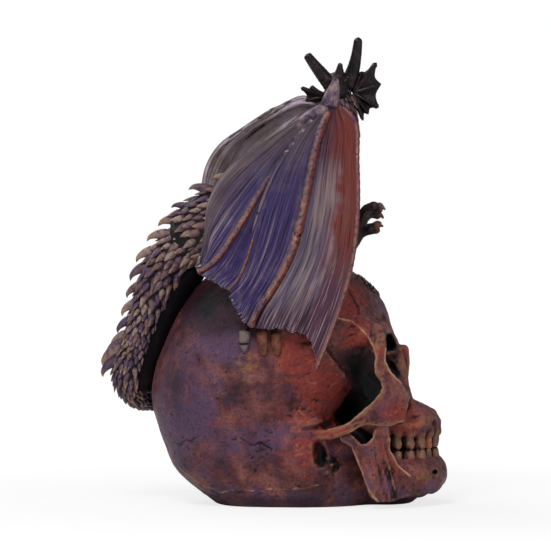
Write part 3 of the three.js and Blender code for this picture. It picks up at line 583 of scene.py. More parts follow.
def skull_clay(grain):
    clay = Clay((-47, -76, -2.4), (47, 56, 108), grain)
    clay.add(braincase())
    clay.add(egg((0, -26, 73.5), (32, 22.6, 21.5)), 5)
    clay.add(egg((0, -10.8, 14), (33.5, 39, 25)), 6)
    clay.add(egg((0, -47.5, 12.5), (23, 18.7, 15.5)), 4)
    clay.add(egg((0, -50.6, 35.4), (26, 20, 9.4)), 4)
    clay.add(egg((0, -43, 51), (19.5, 13, 17)), 5)
    clay.add_both(egg_on((29.5, -10, 25), (10, 12.5, 16)), 6)
    clay.carve_both(egg_on((42, -36.4, 54), (15.5, 10.6, 17), 10), 1.5)
    clay.carve_both(egg_on((42, -33.5, 67), (9.4, 12, 12.4)), 3)
    clay.carve_both(egg_on((33, -38.8, 52), (14, 6.4, 9), 8), 1.5)
    clay.carve_both(egg_on((31, -34, 42), (12, 9.5, 8), -30), 1.5)
    clay.carve_both(egg_on((32, -41.5, 49.5), (14, 7.6, 11.5)), 1.5)
    clay.add_both(strand_on(
        ((0.5, -45.4, 71.5), (10, -46.2, 73.6), (20, -45.6, 75), (29, -43.4, 73.6),
         (33, -43.2, 68)),
        [3.2, 3.4, 3.3, 3.2, 2.8]), 3)
    clay.add_both(lambda side: sheet(BROW_SIDE, brow_face, 6, 0.15, side), 2.5)
    clay.add_both(strand_on(
        ((8, -55.4, 46.6), (15, -55, 46), (23, -53.4, 45.6), (30, -49, 46)),
        [2.4, 2.8, 3.2, 3]), 2)
    clay.add_both(strand_on(
        ((10, -54.6, 50), (12, -56.4, 43), (15, -57.6, 38), (18, -58, 33)),
        [2.6, 3.2, 3.4, 3]), 2.5)
    clay.add_both(strand_on(
        ((6, -59.4, 42.4), (4, -62.6, 40.6), (1.5, -66.4, 38), (0, -69, 34.4)),
        [1.8, 1.8, 2, 2.4]), 1.5)
    clay.carve_both(egg_on((21.6, -52.6, 60), (12, 15, 10.6), 6, 1), 2)
    clay.add_both(egg_on((28.5, -37.5, 73.5), (5, 5.5, 5)), 2)
    clay.add_both(lambda side: sheet(CHEEKBONE, cheek_face, 3.4, 0.2, side), 1)
    clay.add(plate(NOSE, 0, 4.6), 1.5)
    clay.add_both(strand_on(
        ((5, -52.4, 65.6), (8, -53.6, 60), (9.4, -54.6, 54), (10, -55, 50)),
        [2.4, 2.4, 2.5, 2.4]), 1.6)
    clay.carve(egg((0, -61.4, 47.6), (5.4, 7, 7)), 1.5)
    clay.carve_both(egg_on((26, -60, 38.6), (6.5, 4, 3)), 3)
    clay.carve_both(egg_on((12, -68.6, 34.6), (6.5, 2.4, 1.7)), 0.8)
    clay.add_both(strand_on(
        ((10.4, -45.5, 63.6), (9.4, -49, 64.8), (7.4, -53, 66)),
        [2, 1.7, 1.7]), 1)
    clay.carve_both(strand_on(
        [[18, -46.8, 73.4], [18, -49, 70.6], [18, -51.6, 68]],
        [0.6, 1.1, 0.7], (9, 1, 1)), 0.4)
    clay.carve_both(strand_on(
        [[18, -48, 62.6], [18, -50.2, 59.4], [18, -52.6, 55.6]],
        [0.7, 1.4, 0.8], (9, 1, 1)), 0.4)
    clay.add_both(strand_on(
        ((9, -47.4, 80), (9, -49, 75.6), (8.6, -50.4, 72.2), (8, -52, 68.6)),
        [1.5, 1.2, 1.1, 1.4], (4.5, 1, 1)), 0.8)
    for x, y in zip(TOOTH_X, TOOTH_Y):
        foot = np.array([x * HALF_WIDTH, y * REACH, BITE + 6.4])
        lean = np.array([foot[0] * -0.05, 1.4, 8.2])
        clay.add_both(strand_on([foot, foot + lean], [2.3, 1.3]), 1.6)
    clay.carve_both(egg_on((38, -19.8, 23), (8, 3.4, 6.4), -12), 1)
    clay.carve_both(egg_on((36, -28.5, 23), (4, 3.4, 8), 10), 3)
    for y, z, size in ((-24.4, 18.6, 1.2), (-22.6, 15.4, 1.0), (-26.6, 20.8, 0.9),
                       (-21.4, 21.4, 0.7),
                       (-27.6, 17, 0.8), (-24.6, 13.6, 0.7)):
        clay.add_both(egg_on((31.6, y, z), (2.6, size, size * 0.9)), 1.4)
    clay.flatten_base()
    return clay


def line_distance(y, z, line):
    """Distance from each point to a broken line in the plane of Y and Z."""
    best = np.full(len(y), 1e6)
    for (ay, az), (by, bz) in zip(line, line[1:]):
        ey, ez = by - ay, bz - az
        share = np.clip(((y - ay) * ey + (z - az) * ez) / (ey * ey + ez * ez), 0, 1)
        best = np.minimum(best, np.hypot(y - ay - ey * share, z - az - ez * share))
    return best


def weather(piece, pit_depth):
    """Pores, pits and hollows over the bone."""
    points, normals = points_of(piece), normals_of(piece)
    free = rise(0.3, 2.0, points[:, 2])
    shift = 0.28 * uneven(points, 14, 1) + 0.16 * uneven(points, 4.5, 2)
    pores = uneven(points, 2.6, 3, 2)
    shift -= pit_depth / MM * rise(0.35, 0.75, pores)
    return points, normals, shift * free


def finish_skull(piece, pit_depth):
    points, normals, shift = weather(piece, pit_depth)
    y, z = points[:, 1], points[:, 2]
    sideways = rise(0.25, 0.6, np.abs(normals[:, 0]))
    wobble = 0.5 * uneven(points, 3.5, 5, 2)
    crack = np.zeros(len(y))
    for line in CRACKS:
        crack = np.maximum(crack, 1 - rise(0.15, 0.75, line_distance(y + wobble, z + wobble, line)))
    shift -= 0.3 * crack * sideways
    ragged = 0.9 * uneven(points, 1.9, 7, 2)
    lobe = edge_distance(y + wobble + ragged * 0.5, z - wobble, LOBE_EDGE)
    outer = rise(20, 26, np.abs(points[:, 0])) * rise(-8, -16, y)
    shift += outer * (1.3 * (1 - rise(-1.0, 0.3, lobe)) * rise(-14, -2, lobe))
    border = outer * (1 - rise(0.5, 2.0, np.abs(lobe + 0.4)))
    shift += 0.35 * border * uneven(points, 1.4, 8, 2)
    fibres = uneven(np.column_stack([z * 0.9 + y * 0.35, y * 0.22 - z * 0.1, z * 0.02]), 1.6, 12, 3)
    shift += 0.16 * fibres * rise(0.3, 2, z) * (0.4 + outer)
    edge = edge_marks(points, FACE_LINES, lambda y, z: np.minimum(cheek_face(y, z),
                                                                  brow_face(y, z)))
    beaded = np.abs(lobe + 0.9) + 0.3 + 0.6 * uneven(points, 1.3, 8, 2)
    edge = np.where((outer > 0.5) & (y < -20), np.minimum(edge, np.maximum(beaded, 0)), edge)
    seam = line_distance(y + wobble, z + 2 * wobble, BASE_SEAM)
    edge = np.where(np.abs(points[:, 0]) > 12, np.minimum(edge, seam + 0.25), edge)
    shift += 0.35 * np.exp(-(edge / 0.6) ** 2)
    move_points(piece, points + normals * shift[:, None])
    set_shares(piece, "crack", np.maximum(crack * sideways,
                                          1.5 * outer * (1 - rise(0.3, 1.1, np.abs(lobe - 0.5)))))
    set_shares(piece, "edge", edge)
    mark_shade(piece)
    set_shares(piece, "streaky", np.zeros(len(y)))
    mark_relief(piece)


def edge_marks(points, lines, face):
    """How far each point of a plate's face is from its thin ridges, which the paint lines in a pale
    colour, partly a painted highlight of the light they catch.
    """
    x, y, z = points.T
    away = np.full(len(x), 9.0)
    for line in lines:
        away = np.minimum(away, line_distance(y, z, line))
    return np.where(np.abs(x) > face(y, z) - 1.4, away, 9.0)


def mark_shade(piece):
    """Marks the painted shade: in the temple hollow behind the cheekbone, in the eye slots, under
    the wing's edge, beside the tail and low near the base.
    """
    points = points_of(piece)
    x, y, z = points.T
    inside = rise(0.6, -3.5, edge_distance(y, z, FOSSA)) * rise(0.6, 2.2, np.minimum(
        cheek_face(y, z), brow_face(y, z)) - np.abs(x))
    deep = spots(points, DEEP_SHADE_SPOTS)
    slots = (1 - rise(0.4, 1.5, line_distance(y, z, EYE_SLOTS[0])) +
             1 - rise(0.6, 1.7, line_distance(y, z, EYE_SLOTS[1])))
    slots = slots * rise(0.8, 2.5, cheek_face(y, z) - np.abs(x))
    # Painted shade under the wing's edge, beside the tail, in two small hollows of the face and low
    # near the base at the back.
    spot_shade = spots(points, SHADE_SPOTS) + 0.3 * rise(8, 3, z) * rise(-26, -18, y)
    dark = inside * (0.42 * rise(72, 65, z) - 0.1 + 0.75 * deep)
    set_shares(piece, "shade", np.clip(dark + slots + spot_shade, 0, 1))


def spots(points, rows):
    """Soft spots of paint: strength, and middle and reach in the plane of Y and Z."""
    total = 0
    for strength, y, z, wide, high in rows:
        away = (points[:, 1:] - np.array([y, z])) / np.array([wide, high])
        total = total + strength * np.exp(-np.sum(away ** 2, axis=1))
    return total


def tint_bone(piece):
    """Where the rust, the violet and the ochre washes lie."""
    points = points_of(piece)
    for name, rows in WASHES.items():
        set_shares(piece, name, np.clip(spots(points, rows), 0, 1))


# The mandible


def mandible_clay(grain):
    clay = Clay((-41, -77, -2.4), (41, -26, 40), grain)
    half = [(33, -43, 9.6), (31, -48, 9.8), (28, -54, 10.4), (22, -61.4, 11.4), (12.4, -67.2, 12.8)]
    arch = [*half, (0, -68.9, 13.2), *[(-x, y, z) for x, y, z in reversed(half)]]
    clay.add(strand(arch, [3.6, 4, 4.1, 4.2, 4.1, 4.1, 4.1, 4.2, 4.1, 4, 3.6], (1, 1, 1.55)))
    gum = [(27.4, -45, 17), (24, -54, 17.4), (17.2, -61.8, 17.4), (8.6, -66.4, 17.2)]
    arch = [*gum, (0, -67.4, 17.2), *[(-x, y, z) for x, y, z in reversed(gum)]]
    clay.add(strand(arch, [2.6] * 9, (1, 1, 1.2)), 3)
    clay.add(egg((0, -69, 12.8), (9, 4.2, 5.4)), 4)
    clay.add_both(egg_on((10, -66.4, 9.6), (6, 4.2, 4.4)), 4)
    clay.add_both(egg_on((17, -60, 7.4), (7, 5, 3.6)), 3)
    clay.add_both(lambda side: sheet(RAMUS, ramus_face, 4.6, 0.2, side), 1.5)
    for y in (-40.6, -43.4, -46.4, -49.6):
        out = y * 0.06 + 38.2
        clay.add_both(strand_on([(out, y + 2.6, 23), (y * 0.06 + 38.6, y, 14), (out, y - 2.4, 4)],
                                [0.4, 0.6, 0.4]), 1.2)
    for x, y in zip(TOOTH_X, TOOTH_Y):
        foot = np.array([x * HALF_WIDTH, y * REACH, BITE - 6.6])
        clay.add_both(strand_on([foot, foot + [0, 0.6, -6]], [2.2, 1.2]), 1.6)
    clay.carve_both(egg_on((19, -68.3, 14.4), (4, 1.5, 1.1)), 0.5)
    clay.flatten_base()
    return clay


def finish_mandible(piece, pit_depth):
    points, normals, shift = weather(piece, pit_depth)
    x, y, z = points.T
    ramus = rise(31, 34, np.abs(x)) * rise(-56, -52, y)
    stripes = uneven(np.column_stack([y * 1.0 + z * 0.35, z * 0.12, x * 0.05]), 1.7, 9, 2)
    shift += 0.3 * stripes * ramus
    wobble = 0.5 * uneven(points, 3, 6, 2)
    crack = 1 - rise(0.2, 0.8, line_distance(y + wobble, z, CHIN_CRACK))
    shift += 0.35 * crack * rise(18, 22, np.abs(x))
    edge = edge_marks(points, RAMUS_LINES, ramus_face)
    shift += 0.3 * np.exp(-(edge / 0.6) ** 2)
    move_points(piece, points + normals * shift[:, None])
    set_shares(piece, "crack", 0.6 * crack * rise(18, 22, np.abs(x)))
    set_shares(piece, "streaky", ramus * rise(2, 6, z))
    set_shares(piece, "edge", edge)
    set_shares(piece, "shade", np.zeros(len(x)))
    mark_relief(piece)


# Teeth


def tooth_places(width, depth, height, kind, seed):
    """Rings from the root to the biting edge of one tooth, its edge at height 0."""
    share = np.array([0, 0.12, 0.3, 0.5, 0.68, 0.82, 0.93, 0.98, 1.0])
    if kind == "molar":
        girth = np.array([0.62, 0.74, 0.9, 1.0, 1.0, 0.94, 0.8, 0.5, 0])
    else:
        girth = np.array([0.66, 0.78, 0.9, 0.98, 1.0, 0.98, 0.86, 0.5, 0])
    angle = once_round(16)
    power = 0.62 if kind == "molar" else 0.72
    across = np.sign(np.cos(angle)) * np.abs(np.cos(angle)) ** power
    inward = np.sign(np.sin(angle)) * np.abs(np.sin(angle)) ** power
    thin = np.ones(len(share)) if kind == "molar" else np.interp(share, [0, 0.4, 1],
                                                                 [1, 0.95, 0.45])
    places = np.zeros((len(share), 17, 3))
    places[..., 0] = girth[:, None] * across * width / 2
    places[..., 1] = (girth * thin)[:, None] * inward * depth / 2
    places[..., 2] = (-height * (1 - share))[:, None]
    if kind == "molar":
        places[-4:-1, :, 2] += 0.5 * np.cos(2 * angle + math.pi) * np.array([0.4, 1, 0.6])[:, None]
        places[-1, :, 2] -= 0.7
    rng = np.random.default_rng(seed)
    places[..., 0] *= 1 + 0.05 * rng.standard_normal()
    return np.concatenate([places[:1] * (0, 0, 1), places])


def tooth_row(name, direction):
    """All teeth of one jaw; direction is 1 for the upper ones."""
    teeth = []
    for side in (1, -1):
        for index, (x, y) in enumerate(zip(TOOTH_X, TOOTH_Y)):
            kind = "molar" if index >= 3 else "front"
            width = (3.8, 3.4, 3.7, 3.7, 3.9, 4.2, 4.2)[index]
            depth = 3.4 if kind == "front" else 4.6
            places = tooth_places(width, depth, 8.4, kind, index + 10 * (direction > 0))
            ahead = (TOOTH_X[min(index + 1, 6)] - TOOTH_X[max(index - 1, 0)]) * HALF_WIDTH
            back = (TOOTH_Y[min(index + 1, 6)] - TOOTH_Y[max(index - 1, 0)]) * REACH
            turn = math.atan2(back, ahead)
            cos, sin = math.cos(turn), math.sin(turn)
            px = places[..., 0] * cos - places[..., 1] * sin
            py = places[..., 0] * sin + places[..., 1] * cos
            pz = BITE + direction * (0.25 - places[..., 2])
            if index == 2:
                pz = pz - direction * 0.35
            lean = (np.abs(pz - BITE)) * 0.09
            teeth.append(wrapped(f"{name}_{index}", np.stack(
                [side * (px + x * HALF_WIDTH), py + y * REACH + lean, pz], axis=-1)))
    row = joined(name, teeth)
    smoothed(row)
    points = points_of(row)
    roughen(row, (0.4, 1.6, 5))
    rng = np.random.default_rng(4 + direction)
    each = len(points) // len(teeth)
    set_shares(row, "tone", np.repeat(rng.random(len(teeth)), each))
    set_shares(row, "root", rise(2.6, 6.4, np.abs(points[:, 2] - BITE)))
    mark_relief(row, 2, 8)
    return row


# The dragon
TRUNK = [[0, 0.5, 1.083], [0, 0.36, 1.135], [0, 0.167, 1.17], [0, -0.02, 1.2], [0, -0.18, 1.26],
         [0, -0.3, 1.35]]
TRUNK_GIRTHS = [11.2, 13.4, 14.4, 14, 12.3, 9.2]
NECK = [[0, -0.29, 1.35], [0, -0.38, 1.45], [0, -0.41, 1.56], [0, -0.4, 1.67], [0.01, -0.375, 1.73]]
NECK_GIRTHS = [8, 7.4, 6.6, 6, 5.8]
TAIL = [[0, 0.4, 1.12], [0, 0.604, 1.0], [0, 0.695, 0.88], [0, 0.757, 0.769], [0, 0.8, 0.683],
        [0, 0.845, 0.596], [0.03, 0.87, 0.51], [0.12, 0.83, 0.437], [0.36, 0.745, 0.412],
        [0.68, 0.58, 0.42], [0.92, 0.38, 0.44], [1.03, 0.14, 0.45], [1.03, -0.1, 0.46],
        [1.01, -0.33, 0.53], [0.97, -0.48, 0.67], [0.78, -0.535, 0.75], [0.44, -0.568, 0.835],
        [0, -0.598, 0.855], [-0.186, -0.552, 0.894], [-0.163, -0.497, 0.93]]
TAIL_GIRTHS = [1.08, 0.98, 0.82, 0.71, 0.65, 0.7, 0.66, 0.46, 0.44, 0.45, 0.44, 0.41, 0.38, 0.33,
               0.29,
               0.26, 0.23, 0.2, 0.17, 0.12]
TAIL_RADIUS = 9.4
TAIL_PIECES = {"tail_root": (0, 4 / 19), "tail_bend": (4 / 19, 8 / 19),
               "tail_wrap": (8 / 19, 12.5 / 19), "tail_tip": (12.5 / 19, 1)}
SKULL_MIDDLE = np.array([0, 3.0, 57.0])
# How far the hooked spines reach back, in the plane of Y and Z
BACK_TIPS = [[5, 146], [15, 144.6], [25, 141.6], [34.2, 135], [42.4, 127.2]]
TAIL_TIPS = {
    "tail_root": [[49, 120.2], [53.5, 113], [58.1, 104.6], [61, 96.6], [62.5, 89.3], [64.6, 81.6],
                  [66.6, 74.2]],
    "tail_bend": [[69, 68], [71, 64], [73, 59.8], [73.2, 55.2]],
}
BACK_RIDGE = [(0, -2, 134.5), (0, 8, 134), (0, 17, 132.2), (0, 26, 129.2), (0, 35, 124.6),
              (0, 40, 119.5)]
# Points of the near black fill, a sheet of painted shade in the gap between the tail and the back
# of the skull.
TAIL_SHADOW_FILL = [(0, 30, 103), (0, 36, 98), (0, 41, 91), (0, 45, 82), (0, 48.6, 73), (0, 52, 64),
             (0, 54.6, 55), (0, 56, 47)]
BONES = {
    "lead": [[0.74, -0.38, 1.7], [0.82, -0.474, 1.62], [0.91, -0.487, 1.44],
             [0.98, -0.489, 1.24], [1.04, -0.461, 1.03], [1.07, -0.415, 0.89], [1.07, -0.33, 0.72],
             [1.03, -0.245, 0.572]],
    "second": [[0.74, -0.34, 1.69], [0.87, -0.265, 1.565], [0.98, -0.215, 1.41], [1.07, -0.16, 1.2],
               [1.1, -0.09, 1.03], [1.12, 0.02, 0.89], [1.11, 0.09, 0.82], [1.09, 0.14, 0.745]],
    "middle": [[0.72, -0.3, 1.68], [0.83, -0.165, 1.57], [0.93, -0.03, 1.42], [1.03, 0.07, 1.24],
               [1.06, 0.13, 1.09], [1.08, 0.18, 0.98], [1.06, 0.22, 0.93], [1.05, 0.265, 0.895]],
    "rear": [[0.7, -0.28, 1.67], [0.77, -0.17, 1.575], [0.83, -0.02, 1.43], [0.88, 0.09, 1.3],
             [0.9, 0.22, 1.14], [0.89, 0.335, 1.02], [0.87, 0.39, 0.985], [0.85, 0.445, 0.962]],
    "trailing": [[0.66, -0.28, 1.69], [0.68, -0.14, 1.63], [0.68, 0.03, 1.55], [0.64, 0.17, 1.475],
                 [0.58, 0.31, 1.38], [0.56, 0.39, 1.26], [0.62, 0.415, 1.1], [0.76, 0.44, 0.99]],
}
# The far wing lifts its two rear bones higher.
LIFTED_BONES = {
    "rear": [[0.7, -0.28, 1.68], [0.74, -0.14, 1.665], [0.8, 0, 1.62], [0.84, 0.13, 1.56],
             [0.88, 0.25, 1.44], [0.89, 0.35, 1.24], [0.87, 0.4, 1.08], [0.85, 0.445, 0.98]],
    "trailing": [[0.66, -0.28, 1.7], [0.66, -0.17, 1.727], [0.66, 0.03, 1.655],
                 [0.64, 0.195, 1.582],
                 [0.6, 0.34, 1.5], [0.58, 0.42, 1.39], [0.62, 0.44, 1.2], [0.76, 0.45, 1]],
}
BONE_PLACES = [0.0, 0.34, 0.56, 0.76, 1.0]
SCALLOPS = [0.105, -0.015, 0.02, 0.015]


def leaf(name, length=1.0, width=0.62):
    """One pointed scale, its root at the origin and its tip along Y."""
    share = np.array([0, 0.08, 0.3, 0.6, 0.85, 1.0])
    half = np.array([0, 0.38, 0.5, 0.38, 0.15, 0]) * width
    thick = np.array([0, 0.08, 0.11, 0.09, 0.05, 0])
    angle = once_round(6)
    places = np.zeros((len(share), 7, 3))
    places[..., 0] = half[:, None] * np.cos(angle)
    places[..., 1] = (share * length)[:, None]
    keel = np.where(np.sin(angle) > 0.5, 1.25, 1.0)
    places[..., 2] = thick[:, None] * np.sin(angle) * keel + (share * 0.12 - 0.02)[:, None]
    places[..., 2] -= 0.22 * (half[:, None] * np.cos(angle) / (width / 2)) ** 2 * 0.5
    return wrapped(name, places)


def hook(name):
    """One hooked spine: rounded on top, its tip bent down along Y, and its foot at the origin."""
    path = smooth_path([[0, -0.42, -0.3], [0, -0.3, 0.0], [0, -0.1, 0.26], [0, 0.16, 0.44],
                        [0, 0.42, 0.52], [0, 0.64, 0.46]], 11)
    girth = np.array([0.0, 0.2, 0.24, 0.23, 0.2, 0.17, 0.14, 0.11, 0.08, 0.045, 0.0])
    return wrapped(name, rings(path, girth, 8, ACROSS, 1.25))


def strew(name, model, feet, headings, ups, sizes, widths=None):
    """Copies of a small model set on feet, with Y along its heading and Z along its up."""
    points, faces = points_of(model), [tuple(face.vertices) for face in model.data.polygons]
    count = len(points)
    side = unit(np.cross(headings, ups))
    ups = unit(np.cross(side, headings))
    widths = sizes if widths is None else widths
    spots = (feet[:, None]
             + points[None, :, :1] * side[:, None] * widths[:, None, None]
             + points[None, :, 1:2] * headings[:, None] * sizes[:, None, None]
             + points[None, :, 2:] * ups[:, None] * sizes[:, None, None])
    faces = np.array([face + face[-1:] if len(face) == 3 else face for face in faces])
    all_faces = (faces[None] + (np.arange(len(feet)) * count)[:, None, None]).reshape(-1, 4)
    kept = [tuple(face[:3]) if face[2] == face[3] else tuple(face) for face in all_faces.tolist()]
    piece = piece_from(name, spots.reshape(-1, 3), kept)
    smoothed(piece)
    low, high = points[:, 1].min(), points[:, 1].max()
    tips = np.tile((points[:, 1] - low) / (high - low), len(feet))
    rng = np.random.default_rng(len(feet))
    set_shares(piece, "tip", np.clip(tips, 0, 1))
    set_shares(piece, "tone", np.repeat(rng.random(len(feet)), count))
    return piece


def away_from_skull(points, tangents):
    away = points - SKULL_MIDDLE
    return unit(away - tangents * np.einsum("ij,ij->i", away, tangents)[:, None])


def outward(path, tangents, towards=None):
    """Directions square to a path: away from the skull, or on a given side."""
    if towards is None:
        return away_from_skull(path, tangents)
    return square_to(tangents, towards)


def scale_feet(path, girths, spacing, width, start=0.0, end=1.0, span=math.pi, tilt=None):
    """Rows of feet round a path, each row set half a step from the one before."""
    lengths = np.concatenate([[0], np.cumsum(np.linalg.norm(np.diff(path, axis=0), axis=1))])
    tangents = unit(np.gradient(path, axis=0))
    outs = outward(path, tangents, tilt)
    total = lengths[-1]
    feet, headings, ups, sizes = [], [], [], []
    place, row = start * total, 0
    while place < end * total:
        share = np.interp(place, lengths, np.arange(len(path)))
        low = min(int(share), len(path) - 2)
        mix = share - low
        centre, tangent, out = (values[low] * (1 - mix) + values[low + 1] * mix
                                for values in (path, tangents, outs))
        girth = girths[low] * (1 - mix) + girths[low + 1] * mix
        size = np.clip(girth / 9, 0.3, 1.0)
        count = max(int(round(2 * span * girth / (width * size))), 5)
        other = np.cross(tangent, out)
        for index in range(count):
            angle = -span + 2 * span * (index + 0.5 * (row % 2)) / count
            normal = math.cos(angle) * out + math.sin(angle) * other
            feet.append(centre + normal * girth)
            ups.append(normal)
            headings.append(tangent)
            sizes.append(size)
        place += spacing * size
        row += 1
    return tuple(np.array(values) for values in (feet, headings, ups, sizes))


def settle(feet, ups, target, reach=6.0):
    """Feet and directions moved onto the surface of a sculpted piece."""
    tree = BVHTree.FromObject(target, bpy.context.evaluated_depsgraph_get())
    spots, outs, kept = [], [], []
    for index, (foot, out) in enumerate(zip(feet, ups)):
        start = Vector((foot + out * reach) * MM)
        hit, normal, _, _ = tree.ray_cast(start, Vector(-out), 3 * reach * MM)
        if hit is None:
            continue
        spots.append(np.array(hit) / MM)
        outs.append(np.array(normal))
        kept.append(index)
    return np.array(spots), np.array(outs), np.array(kept, int)


def scaly(name, feet, headings, ups, sizes, length, width, target=None):
    """A coat of overlapping scales."""
    if target is not None:
        spots, outs, kept = settle(feet, ups, target)
        feet, ups, headings, sizes = spots, outs, headings[kept], sizes[kept]
    rng = np.random.default_rng(len(feet) + 3)
    headings = unit(headings - ups * np.einsum("ij,ij->i", headings, ups)[:, None])
    turn = rng.normal(0, 0.2, len(feet))[:, None]
    side = np.cross(headings, ups)
    headings = unit(headings + side * turn + ups * (0.05 + 0.08 * rng.random((len(feet), 1))))
    sizes = sizes * (1 + 0.3 * (rng.random(len(feet)) - 0.5))
    model = leaf("scale")
    piece = strew(name, model, feet - ups * 0.25, headings, ups, sizes * length, sizes * width)
    bpy.data.objects.remove(model)
    return piece


def spiny(name, path, girths, shares, lengths, tilt=None):
    """A row of hooked spines along the back."""
    places = np.array(shares) * (len(path) - 1)
    low = np.minimum(places.astype(int), len(path) - 2)
    mix = (places - low)[:, None]
    tangents = unit(np.gradient(path, axis=0))
    outs = outward(path, tangents, tilt)
    centre, tangent, out = (values[low] * (1 - mix) + values[low + 1] * mix
                            for values in (path, tangents, outs))
    girth = (girths[low] * (1 - mix[:, 0]) + girths[low + 1] * mix[:, 0])
    model = hook("spine")
    piece = strew(name, model, centre + unit(out) * (girth - 0.6)[:, None], unit(tangent),
                  unit(out),
                  np.array(lengths, float))
    set_shares(piece, "tone", np.full(len(piece.data.vertices), 0.45))
    bpy.data.objects.remove(model)
    return piece


def stand_at(path, girths, tips, across=None):
    """Where along a path each spine stands and how long it is, for its tip to get to its place."""
    tangents = unit(np.gradient(path, axis=0))
    outs = outward(path, tangents, across)
    shares, lengths = [], []
    for y, z in tips:
        reach = (np.array([0, y, z]) - path) * (0, 1, 1)
        along = np.einsum("ij,ij->i", reach, tangents)
        height = np.einsum("ij,ij->i", reach, outs) - girths + 0.6
        best = np.argmin(np.abs(along - 1.39 * np.minimum(height, 5.5) + 2.3) + 100 * (height < 0))
        shares.append(best / (len(path) - 1))
        lengths.append(np.clip(height[best] / 0.5, 4.5, 11))
    return shares, lengths


def torso_clay(grain):
    clay = Clay((-24, -34, 96), (24, 44, 152), grain)
    clay.add(strand(at(TRUNK), TRUNK_GIRTHS, steps=4))
    clay.add_both(egg_on((9, 16, 114), (8, 12, 11), 20), 5)
    clay.add_both(egg_on((9, -15, 126), (6.5, 9, 9), -30), 5)
    clay.add_both(egg_on((7.5, -4, 131), (5, 9, 6)), 5)
    clay.add(strand(BACK_RIDGE, [3.6, 4.4, 4.8, 4.8, 4.6, 4]), 3)
    clay.carve(egg((0, 3, 57), (42.3, 49.3, 49.3)), 0.6)
    return clay


def head_clay(grain):
    clay = Clay((-12, -42, 158), (26, -14, 192), grain)
    face = at([[-0.09, -0.38, 1.76], [0.06, -0.38, 1.77], [0.24, -0.375, 1.75],
               [0.38, -0.365, 1.715],
               [0.5, -0.355, 1.685]])
    clay.add(strand(face, [4.6, 6.6, 5.6, 4.0, 3.2], (1, 0.86, 1)))
    chin = at([[0.12, -0.38, 1.7], [0.28, -0.365, 1.655], [0.44, -0.355, 1.625]])
    clay.add(strand(chin, [4.2, 2.9, 1.9]), 1.2)
    middle = -27.0
    for side in (1, -1):
        clay.add(strand([(3, middle + side * 4, 182), (8, middle + side * 4.4, 181.2),
                         (12.5, middle + side * 3.2, 177.6)], [1.6, 1.7, 0.9]), 1.4)
        clay.add(egg((4, middle + side * 4.6, 172.5), (4, 2.2, 3)), 2)
        clay.add(egg((20.4, -25.6 + side * 2, 172.2), (2, 1.3, 1.5)), 1)
        clay.carve(egg((21.4, -25.6 + side * 2.5, 172.2), (0.9, 0.8, 0.7)), 0.4)
        clay.carve(egg((10, middle + side * 5.6, 177.6), (2.2, 1.6, 1.3), -12, 1), 0.5)
        for step in range(4):
            clay.add(strand([(-1 - step, middle + side * (2 + step), 181 - 3.6 * step),
                             (-5.4 - step * 0.4, middle + side * (3.6 + step), 180.6 - 4.4 * step)],
                            [1.7, 0.5]), 1)
    clay.carve(strand([(8, middle, 170.4), (16, -26, 168), (23.5, -25.6, 165.5)], [0.9, 0.8, 1.2],
                      (1, 6, 0.8)), 0.5)
    clay.add(strand(at([[0.0, -0.375, 1.79], [-0.05, -0.385, 1.82], [-0.09, -0.39, 1.865]]),
                    [3, 2.2, 1.1]), 1.5)
    for x, z in ((4, 183.4), (9, 182.4), (14, 178.8)):
        clay.add(strand([(x, middle, z - 2), (x - 1.6, middle, z + 1.6)], [1.5, 0.4]), 0.8)
    return clay


def eye_places(middle, radius):
    angle = once_round(16)
    rise_by = np.linspace(-math.pi / 2, math.pi / 2, 11)
    places = np.zeros((11, 17, 3))
    places[..., 0] = np.cos(rise_by)[:, None] * np.cos(angle) * radius
    places[..., 1] = np.cos(rise_by)[:, None] * np.sin(angle) * radius
    places[..., 2] = (np.sin(rise_by) * radius)[:, None]
    return places + np.array(middle)


HORNS = {
    "horn_right": ([[0, -0.42, 1.765], [-0.01, -0.462, 1.83], [-0.03, -0.485, 1.9],
                    [-0.05, -0.5, 1.99]],
                   [3.4, 3.0, 2.3, 1.75]),
    "horn_left": ([[0, -0.345, 1.765], [-0.02, -0.288, 1.82], [-0.04, -0.235, 1.87],
                   [-0.05, -0.19, 1.915]],
                  [3.2, 2.9, 2.3, 1.75]),
}
FINS = {
    "ear_fin_right": ((-33.6, 175), [(-37.4, 184.4), (-43.8, 188.2), (-45.8, 179), (-44.8, 169),
                                     (-40.4, 166), (-38, 163.4)],
                      [0.8, 1.3, 0.9, 1.3, 0.8, 0.8]),
    "ear_fin_left": ((-22, 173.5), [(-15.4, 177.8), (-11.3, 177.4), (-13.2, 172), (-20, 168.4)],
                     [1.3, 1.0, 0.9, 0.8]),
}


def horn_piece(name, shares, girths):
    def ringed(share):
        return 1 + 0.035 * np.sin(share * 70) * (1 - share) + 0.05 * rise(0.9, 0.96, share)
    return tube(name, at(shares), girths, sides=20, steps=12, dome=0.09, shape=ringed)


def fin_piece(name, root, tips, knobs):
    """A webbed fin: skin hung between spokes that spread from its root."""
    root = np.array([1.3, *root])
    ends = [np.array([1.3 - 1.2 * (index % 2), *tip]) for index, tip in enumerate(tips)]
    pieces = []
    for index, (end, knob) in enumerate(zip(ends, knobs)):
        middle = (root + end) / 2 + np.array([-1.0, 0, 0])
        pieces.append(tube(f"{name}_spoke", [root, middle, end], [1.5, 0.95, knob], sides=10,
                           steps=8,
                           dome=0.1))
    reach = np.linspace(0, 1, 10)
    fans = []
    for here, there in zip(ends, ends[1:]):
        for share in np.linspace(0, 1, 9)[:(None if there is ends[-1] else -1)]:
            edge = here * (1 - share) + there * share
            dip = 1 - 0.16 * math.sin(math.pi * share)
            column = root + (edge - root) * (reach * dip)[:, None]
            column[:, 0] += 0.7 * math.sin(math.pi * share) * reach
            fans.append(column)
    sheet = np.array(fans)
    pieces.append(thickened(wrapped(f"{name}_web", sheet), 0.9))
    return joined(name, pieces)


